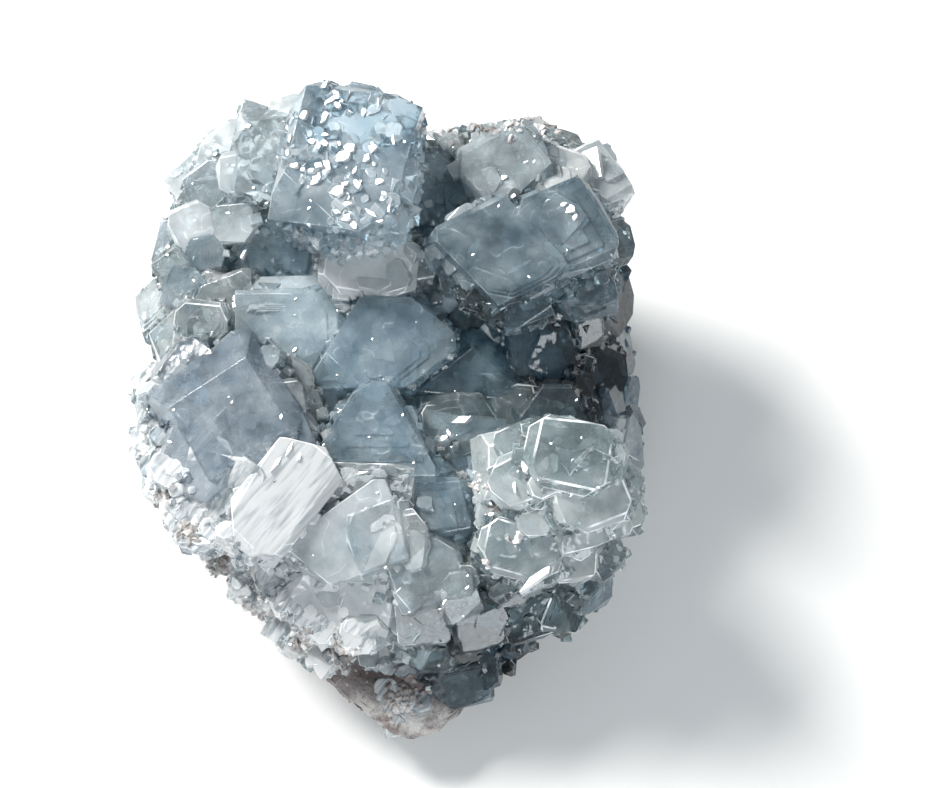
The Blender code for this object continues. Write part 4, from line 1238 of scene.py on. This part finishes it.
def broken_rock():
    """The rock of the solids with its broken, granular and faintly layered surface."""
    node = frame["nodes"]["matrix"]
    solid = bmesh.new()
    solid.from_mesh(node.data)
    bmesh.ops.transform(solid, matrix=node.matrix_world, verts=solid.verts)
    bmesh.ops.subdivide_edges(solid, edges=solid.edges[:], cuts=ROCK_CUTS, use_grid_fill=True)
    bmesh.ops.triangulate(solid, faces=solid.faces)
    solid.normal_update()
    across, upward = ROCK_LAYER_WAVES
    for vert in solid.verts:
        place = vert.co / MM
        if place.z < ROCK_FLAT:
            continue
        rough = noise.fractal(place * ROCK_WAVES, 1.0, 2.1, 5)
        layer = abs(noise.noise(Vector((place.x * across, place.y * across, place.z * upward)))) - 0.2
        pit = min(0.0, noise.noise(place * ROCK_PIT_WAVES) + 0.35)
        fade = min(1.0, (place.z - ROCK_FLAT) / ROCK_FADE)
        vert.co += vert.normal * (rough * ROCK_ROUGH + layer * ROCK_LAYERS + pit * ROCK_PITS) * fade * MM
    return solid


# How a kind of crystal looks: two tints of its haze, how clear it is and how much less so where it is paler,
# how rough its faces are, the colour and strength with which it takes light away inside, and how white its
# edges are, which is partly wear and partly a painted highlight.
Look = namedtuple("Look", "deep pale clear milk rough absorbed density wear")

LOOKS = {
    "etched": Look(
        (0.40, 0.54, 0.63), (0.80, 0.88, 0.92), 0.76, 0.12, (0.06, 0.24), (0.46, 0.67, 0.78), 40.0, 0.5
    ),
    "mass": Look(
        (0.43, 0.54, 0.64), (0.74, 0.81, 0.87), 0.74, 0.12, (0.10, 0.30), (0.48, 0.65, 0.77), 40.0, 0.1
    ),
    "haze": Look(
        (0.42, 0.57, 0.66), (0.76, 0.85, 0.89), 0.78, 0.12, (0.06, 0.24), (0.44, 0.66, 0.77), 46.0, 0.35
    ),
    "blue": Look(
        (0.30, 0.46, 0.55), (0.62, 0.75, 0.81), 0.88, 0.12, (0.03, 0.16), (0.34, 0.58, 0.70), 85.0, 0.5
    ),
    "clear": Look(
        (0.62, 0.76, 0.80), (0.93, 0.97, 0.97), 0.84, 0.12, (0.02, 0.14), (0.62, 0.80, 0.84), 26.0, 1.3
    ),
    "bubble": Look(
        (0.56, 0.68, 0.71), (0.90, 0.95, 0.95), 0.74, 0.12, (0.02, 0.14), (0.62, 0.80, 0.82), 26.0, 1.8
    ),
    "milky": Look(
        (0.70, 0.81, 0.86), (0.94, 0.97, 0.98), 0.66, 0.12, (0.06, 0.26), (0.66, 0.81, 0.86), 20.0, 0.65
    ),
    "white": Look(
        (0.66, 0.77, 0.84), (0.97, 0.99, 1.0), 0.70, 0.24, (0.05, 0.22), (0.78, 0.88, 0.92), 14.0, 0.9
    ),
    "druse": Look(
        (0.55, 0.69, 0.75), (0.92, 0.96, 0.98), 0.82, 0.12, (0.03, 0.20), (0.56, 0.74, 0.80), 40.0, 0.8
    ),
}
DARKEST = 0.42
CELESTITE_IOR = 1.62
EDGE_COLOUR = (0.96, 0.98, 1.0, 1.0)
TONE_RANGE = 0.20
STREAK_BEARING = 50.0
STREAK_SCALE = (120.0, 1500.0, 900.0)
CRACKED = ("etched", "haze", "milky", "clear")

# Sizes of the patterns, in waves per metre
VEIL_WAVES = 210.0
CRACK_WAVES = 260.0
WEAR_AND_HIGHLIGHT_WAVES = 330.0
SWELL_WAVES = 420.0
SKIN_WAVES = 700.0


def new_material(name):
    """A material with its node tree and its Principled shader."""
    made = bpy.data.materials.new(name)
    made.use_nodes = True
    return made, made.node_tree, made.node_tree.nodes["Principled BSDF"]


def feed(tree, node, inputs):
    """Sets inputs of a node, each to a value or to another node's output."""
    for name, value in inputs.items():
        if isinstance(value, bpy.types.NodeSocket):
            tree.links.new(value, node.inputs[name])
        else:
            node.inputs[name].default_value = value


def add_node(tree, kind, inputs, **settings):
    """A new node with its settings and inputs."""
    made = tree.nodes.new(f"ShaderNode{kind}")
    for name, value in settings.items():
        setattr(made, name, value)
    feed(tree, made, inputs)
    return made


def object_place(tree):
    """The place on the specimen, in metres."""
    return add_node(tree, "TexCoord", {}).outputs["Object"]


def noise_field(tree, scale, detail, rough=0.55, distortion=0.0, place=None):
    """Noise over the object's own coordinates; scale is in waves per metre."""
    inputs = {
        "Scale": scale, "Detail": detail, "Roughness": rough, "Distortion": distortion,
        "Vector": place or object_place(tree),
    }
    return add_node(tree, "TexNoise", inputs).outputs["Fac"]


def streaks(tree):
    """Soft streaks along the veiled crystal."""
    bearing = (0.0, 0.0, -math.radians(STREAK_BEARING))
    turned = add_node(tree, "Mapping", {"Vector": object_place(tree), "Rotation": bearing})
    along = add_node(tree, "Mapping", {"Vector": turned.outputs["Vector"], "Scale": STREAK_SCALE})
    field = noise_field(tree, 1.0, 4.0, 0.5, 0.4, along.outputs["Vector"])
    return spread(tree, field, 0.38, 0.84, 0.34, 0.66)


def crack_lines(tree):
    """Thin curved healed cracks, here and there."""
    stops = ((0.488, (0.0, 0.0, 0.0)), (0.5, (0.42, 0.42, 0.42)), (0.512, (0.0, 0.0, 0.0)))
    lines = ramp(tree, noise_field(tree, CRACK_WAVES, 1.0), stops)
    some = spread(tree, noise_field(tree, SWELL_WAVES, 2.0), 0.0, 1.0, 0.48, 0.66)
    return sums(tree, "MULTIPLY", lines, some)


def own_value(tree, name):
    """A value that the mesh carries on its faces."""
    return add_node(tree, "Attribute", {}, attribute_name=name).outputs["Fac"]


def sums(tree, kind, one, two, clamped=True):
    """One value added to, taken from or multiplied by another value or number."""
    return add_node(tree, "Math", {0: one, 1: two}, operation=kind, use_clamp=clamped).outputs["Value"]


def ramp(tree, value, stops):
    """Colours along a value: stops are (position, colour)."""
    made = add_node(tree, "ValToRGB", {"Fac": value})
    elements = made.color_ramp.elements
    while len(elements) < len(stops):
        elements.new(0.5)
    for element, (position, colour) in zip(elements, stops):
        element.position = position
        element.color = (*colour, 1.0)
    return made.outputs["Color"]


def blend(tree, share, one, two):
    """Two colours mixed by a value; the second may be a plain colour."""
    return add_node(tree, "Mix", {0: share, 6: one, 7: two}, data_type="RGBA").outputs[2]


def spread(tree, value, low, high, start=0.3, end=0.7):
    """A value from start to end read as low to high."""
    inputs = {"Value": value, "From Min": start, "From Max": end, "To Min": low, "To Max": high}
    return add_node(tree, "MapRange", inputs).outputs["Result"]


def rise_share(tree, axis, low, high, start, end):
    """Where a place lies between two heights, in metres, along one axis."""
    split = add_node(tree, "SeparateXYZ", {"Vector": object_place(tree)})
    return spread(tree, split.outputs[axis], low, high, start, end)


def bump(tree, shader, height, strength, distance, below=None):
    """Relief of a height field on a shader's normal."""
    made = add_node(tree, "Bump", {"Strength": strength, "Distance": distance, "Height": height})
    if below is not None:
        feed(tree, made, {"Normal": below})
    feed(tree, shader, {"Normal": made.outputs["Normal"]})
    return made.outputs["Normal"]


def absorb(tree, colour, density):
    """Light taken away inside a clear body."""
    volume = add_node(tree, "VolumeAbsorption", {"Color": (*colour, 1.0), "Density": density})
    feed(tree, tree.nodes["Material Output"], {"Volume": volume.outputs["Volume"]})


def crystal_material(name):
    """Clear to hazy crystal with veils, painted shade and light by place, faint growth relief, edges paler by
    wear and a painted highlight, and patches of rougher skin.
    """
    look = LOOKS[name]
    made, tree, shader = new_material(f"celestite_{name}")
    streaked = name == "white"
    veils = streaks(tree) if streaked else noise_field(tree, VEIL_WAVES, 4.0, 0.62)
    # The face value tone brings painted shade and painted light by place along with real tint; the darkest
    # stop is reached mostly through painted shade
    shade = sums(tree, "ADD", veils, own_value(tree, "tone"), clamped=False)
    darkest = tuple(channel * DARKEST for channel in look.deep)
    haze = ramp(tree, shade, ((0.02, darkest), (0.30, look.deep), (0.72, look.pale)))
    # Paler, less clear edges: partly wear, partly a painted highlight
    worn_and_lit = spread(tree, noise_field(tree, WEAR_AND_HIGHLIGHT_WAVES, 2.0), 0.0, look.wear, 0.42, 0.70)
    wear = sums(tree, "MULTIPLY", own_value(tree, "edge"), worn_and_lit)
    opaque = sums(tree, "MULTIPLY", wear, 0.65)
    if name in CRACKED:
        cracks = crack_lines(tree)
        haze = blend(tree, cracks, haze, EDGE_COLOUR)
        opaque = sums(tree, "ADD", opaque, sums(tree, "MULTIPLY", cracks, 0.5))
    clear = spread(tree, shade, min(1.0, look.clear + 0.10), look.clear - look.milk, 0.25, 0.80)
    feed(tree, shader, {
        "Base Color": blend(tree, wear, haze, EDGE_COLOUR),
        "Transmission Weight": sums(tree, "SUBTRACT", clear, opaque),
        "Roughness": spread(tree, noise_field(tree, SKIN_WAVES, 2.0, 0.65), *look.rough, 0.42, 0.66),
        "IOR": CELESTITE_IOR,
    })
    height = veils if streaked else noise_field(tree, SWELL_WAVES, 2.0)
    bump(tree, shader, height, 0.10 if streaked else 0.24, 0.0006)
    absorb(tree, look.absorbed, look.density)
    return made


def painted_highlight_flake_material():
    """Small etched faces, glints and glitter: near-white as a painted highlight, and glossy so that they also
    mirror the key.
    """
    made, tree, shader = new_material("celestite_flakes_painted_highlight")
    grain = noise_field(tree, 900.0, 4.0)
    feed(tree, shader, {
        "Base Color": ramp(tree, grain, ((0.35, (0.78, 0.85, 0.90)), (0.6, (0.98, 0.99, 1.0)))),
        "Roughness": spread(tree, grain, 0.08, 0.30),
        "IOR": CELESTITE_IOR,
        "Transmission Weight": 0.35,
        "Specular IOR Level": 1.0,
    })
    bump(tree, shader, noise_field(tree, 2200.0, 3.0), 0.25, 0.0002)
    return made


def veil_material():
    """Milky sheets inside the crystals."""
    made, tree, shader = new_material("celestite_veils")
    cloud = noise_field(tree, 900.0, 5.0)
    feed(tree, shader, {
        "Base Color": ramp(tree, cloud, ((0.35, (0.80, 0.88, 0.92)), (0.65, (1.0, 1.0, 1.0)))),
        "Transmission Weight": spread(tree, cloud, 0.9, 0.45),
        "Roughness": 0.55,
        "IOR": 1.25,
    })
    return made


def bed_material():
    """The milky mass that the crystals are rooted in."""
    made, tree, shader = new_material("celestite_bed")
    shades = ((0.34, (0.30, 0.41, 0.50)), (0.52, (0.55, 0.66, 0.73)), (0.70, (0.88, 0.90, 0.88)))
    feed(tree, shader, {
        "Base Color": ramp(tree, noise_field(tree, 300.0, 7.0, 0.65, 0.8), shades),
        "Roughness": 0.45,
        "IOR": CELESTITE_IOR,
    })
    bump(tree, shader, noise_field(tree, 1200.0, 6.0, 0.7), 0.7, 0.0006)
    return made


def rock_material():
    """Speckled mauve-brown rock, white and granular towards its upper edge and on parts of the knob."""
    made, tree, shader = new_material("matrix_rock")
    patches = noise_field(tree, 170.0, 9.0, 0.68, 0.3)
    shades = (
        (0.34, (0.10, 0.08, 0.075)), (0.44, (0.17, 0.135, 0.13)), (0.53, (0.25, 0.205, 0.20)),
        (0.62, (0.34, 0.30, 0.29)), (0.74, (0.62, 0.60, 0.58)),
    )
    specks = spread(tree, noise_field(tree, 1500.0, 3.0, 0.6), 0.0, 1.0, 0.60, 0.70)
    plain = blend(tree, specks, ramp(tree, patches, shades), (0.05, 0.042, 0.04, 1.0))
    high = rise_share(tree, "Z", 0.0, 1.0, 0.0125, 0.0160)
    knob = rise_share(tree, "Y", 1.0, 0.0, -0.0365, -0.0320)
    reach = sums(tree, "ADD", high, sums(tree, "MULTIPLY", knob, 0.8))
    grain = spread(tree, noise_field(tree, 320.0, 6.0, 0.7), 0.0, 1.0, 0.40, 0.56)
    feed(tree, shader, {
        "Base Color": blend(tree, sums(tree, "MULTIPLY", reach, grain), plain, (0.80, 0.79, 0.77, 1.0)),
        "Roughness": spread(tree, patches, 0.9, 0.55),
    })
    coarse = bump(tree, shader, noise_field(tree, 450.0, 8.0, 0.7), 0.8, 0.0010)
    bump(tree, shader, noise_field(tree, 2400.0, 5.0, 0.75), 0.7, 0.0004, coarse)
    return made


def crumb_material():
    """Loose grains of the rock: white, with brown-grey patches."""
    made, tree, shader = new_material("matrix_grains")
    patches = noise_field(tree, 260.0, 5.0, 0.6)
    pale = ((0.38, (0.20, 0.18, 0.17)), (0.50, (0.45, 0.43, 0.42)), (0.60, (0.80, 0.79, 0.78)))
    brown = ((0.38, (0.15, 0.12, 0.11)), (0.52, (0.32, 0.28, 0.27)), (0.66, (0.60, 0.58, 0.56)))
    rise = rise_share(tree, "Z", 0.0, 1.0, 0.0095, 0.0140)
    feed(tree, shader, {
        "Base Color": blend(tree, rise, ramp(tree, patches, brown), ramp(tree, patches, pale)),
        "Roughness": spread(tree, patches, 0.75, 0.35),
    })
    bump(tree, shader, noise_field(tree, 3000.0, 4.0, 0.7), 0.4, 0.0003)
    return made


def floor_material():
    """Plain pale studio paper."""
    made, tree, shader = new_material("floor")
    feed(tree, shader, {"Base Color": (0.80, 0.80, 0.79, 1.0), "Roughness": 0.8})
    return made


def soft_light(name, place, size, power, colour):
    """A rectangular studio lamp that looks at the specimen."""
    lamp = bpy.data.lights.new(name, "AREA")
    lamp.shape = "RECTANGLE"
    lamp.size, lamp.size_y = size
    lamp.energy = power
    lamp.color = colour
    made = bpy.data.objects.new(name, lamp)
    made.location = place
    made.rotation_euler = (Vector(AIMED_AT) - made.location).to_track_quat("-Z", "Y").to_euler()
    bpy.context.scene.collection.objects.link(made)
    return made


def light_scene():
    """A pale floor, a key from the upper left, a weak fill and a pale surround."""
    bpy.ops.mesh.primitive_plane_add(size=3.0, location=(0, 0, 0))
    floor = bpy.context.object
    floor.name = "floor"
    floor.data.materials.append(floor_material())
    for lamp in LAMPS:
        soft_light(*lamp)
    world = bpy.data.worlds.new("surround")
    bpy.context.scene.world = world
    world.use_nodes = True
    sky = world.node_tree.nodes["Background"]
    feed(world.node_tree, sky, SKY)
    bpy.context.scene.view_settings.view_transform = "Standard"
    path = bpy.context.scene.cycles
    path.max_bounces = 6
    path.transmission_bounces = 5
    path.diffuse_bounces = 2
    path.glossy_bounces = 2


def place_camera():
    """The camera at the photograph's viewing angle."""
    camera = bpy.data.objects.new("camera", bpy.data.cameras.new("camera"))
    bpy.context.scene.collection.objects.link(camera)
    camera.data.sensor_width = SENSOR
    camera.data.lens = SENSOR * VIEW_DISTANCE / (IMAGE_WIDTH * PIXEL)
    camera.data.clip_start = 0.01
    camera.data.clip_end = 10.0
    axes = Matrix((VIEW_RIGHT, VIEW_UP, VIEW_BACK)).transposed().to_4x4()
    camera.matrix_world = Matrix.Translation(VIEW_EYE * MM) @ axes
    bpy.context.scene.camera = camera


def dress(piece, node, material):
    """Gives a piece its material and its place in the model."""
    piece.data.materials.clear()
    piece.data.materials.append(material)
    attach(piece, "root")
    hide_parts(node)
    print(piece.name, len(piece.data.polygons), flush=True)


def crystal_pieces(bodies, grown, chance):
    """One closed mesh for each kind of look, with growth steps on the named crystals."""
    groups = {}
    for body in bodies:
        groups.setdefault(body.look, []).append(detailed(body))
        groups[body.look] += step_plates(body, chance)
    for body in grown:
        groups.setdefault(body.look, []).append(detailed(body))
    pieces = []
    for look, solids in groups.items():
        pieces.append(fused(f"crystals_{look}", solids))
        dress(pieces[-1], "crystals", crystal_material(look))
    return pieces


def build():
    """Makes the crystals and the rock."""
    chance = random.Random(DETAIL_SEED)
    crust = crust_body()
    bodies = named_bodies() + filler_bodies(crust)
    bridges = bridge_bodies(bodies)
    grown = [small for body in bodies for small in parallel_bodies(body, chance)] + bridges
    grown += etched_bodies(bodies[0]) + dressing_bodies()
    grown += [cap for body in bodies if min(body.size[:2]) > CAPPED_SIZE for cap in cap_bodies(body, chance)]
    rock = new_object("rock_rind", broken_rock(), smooth=True)
    dress(rock, "matrix", rock_material())
    grown += rim_bodies(joined_surface(bodies + grown, crust, rock.data)[0], chance)
    grown += crevice_bodies(crust, bodies + grown)
    pieces = crystal_pieces(bodies, grown, chance)
    bed = new_object("crystal_bed", crust, smooth=True)
    dress(bed, "crystals", bed_material())
    flakes = glint_solids(look_up(pieces + [bed]), chance)
    dress(joined("crystal_flakes", flakes), "crystals", painted_highlight_flake_material())
    veiled = [body for body in bodies if min(body.size[:2]) > VEILED_SIZE]
    veils = [sheet for body in veiled for sheet in veil_solids(body, chance)]
    dress(joined("crystal_veils", veils), "crystals", veil_material())
    grains = crumb_solids(look_up(pieces + [bed, rock]), look_up([rock]), chance)
    dress(joined("rock_grains", grains), "matrix", crumb_material())


build()
light_scene()
place_camera()
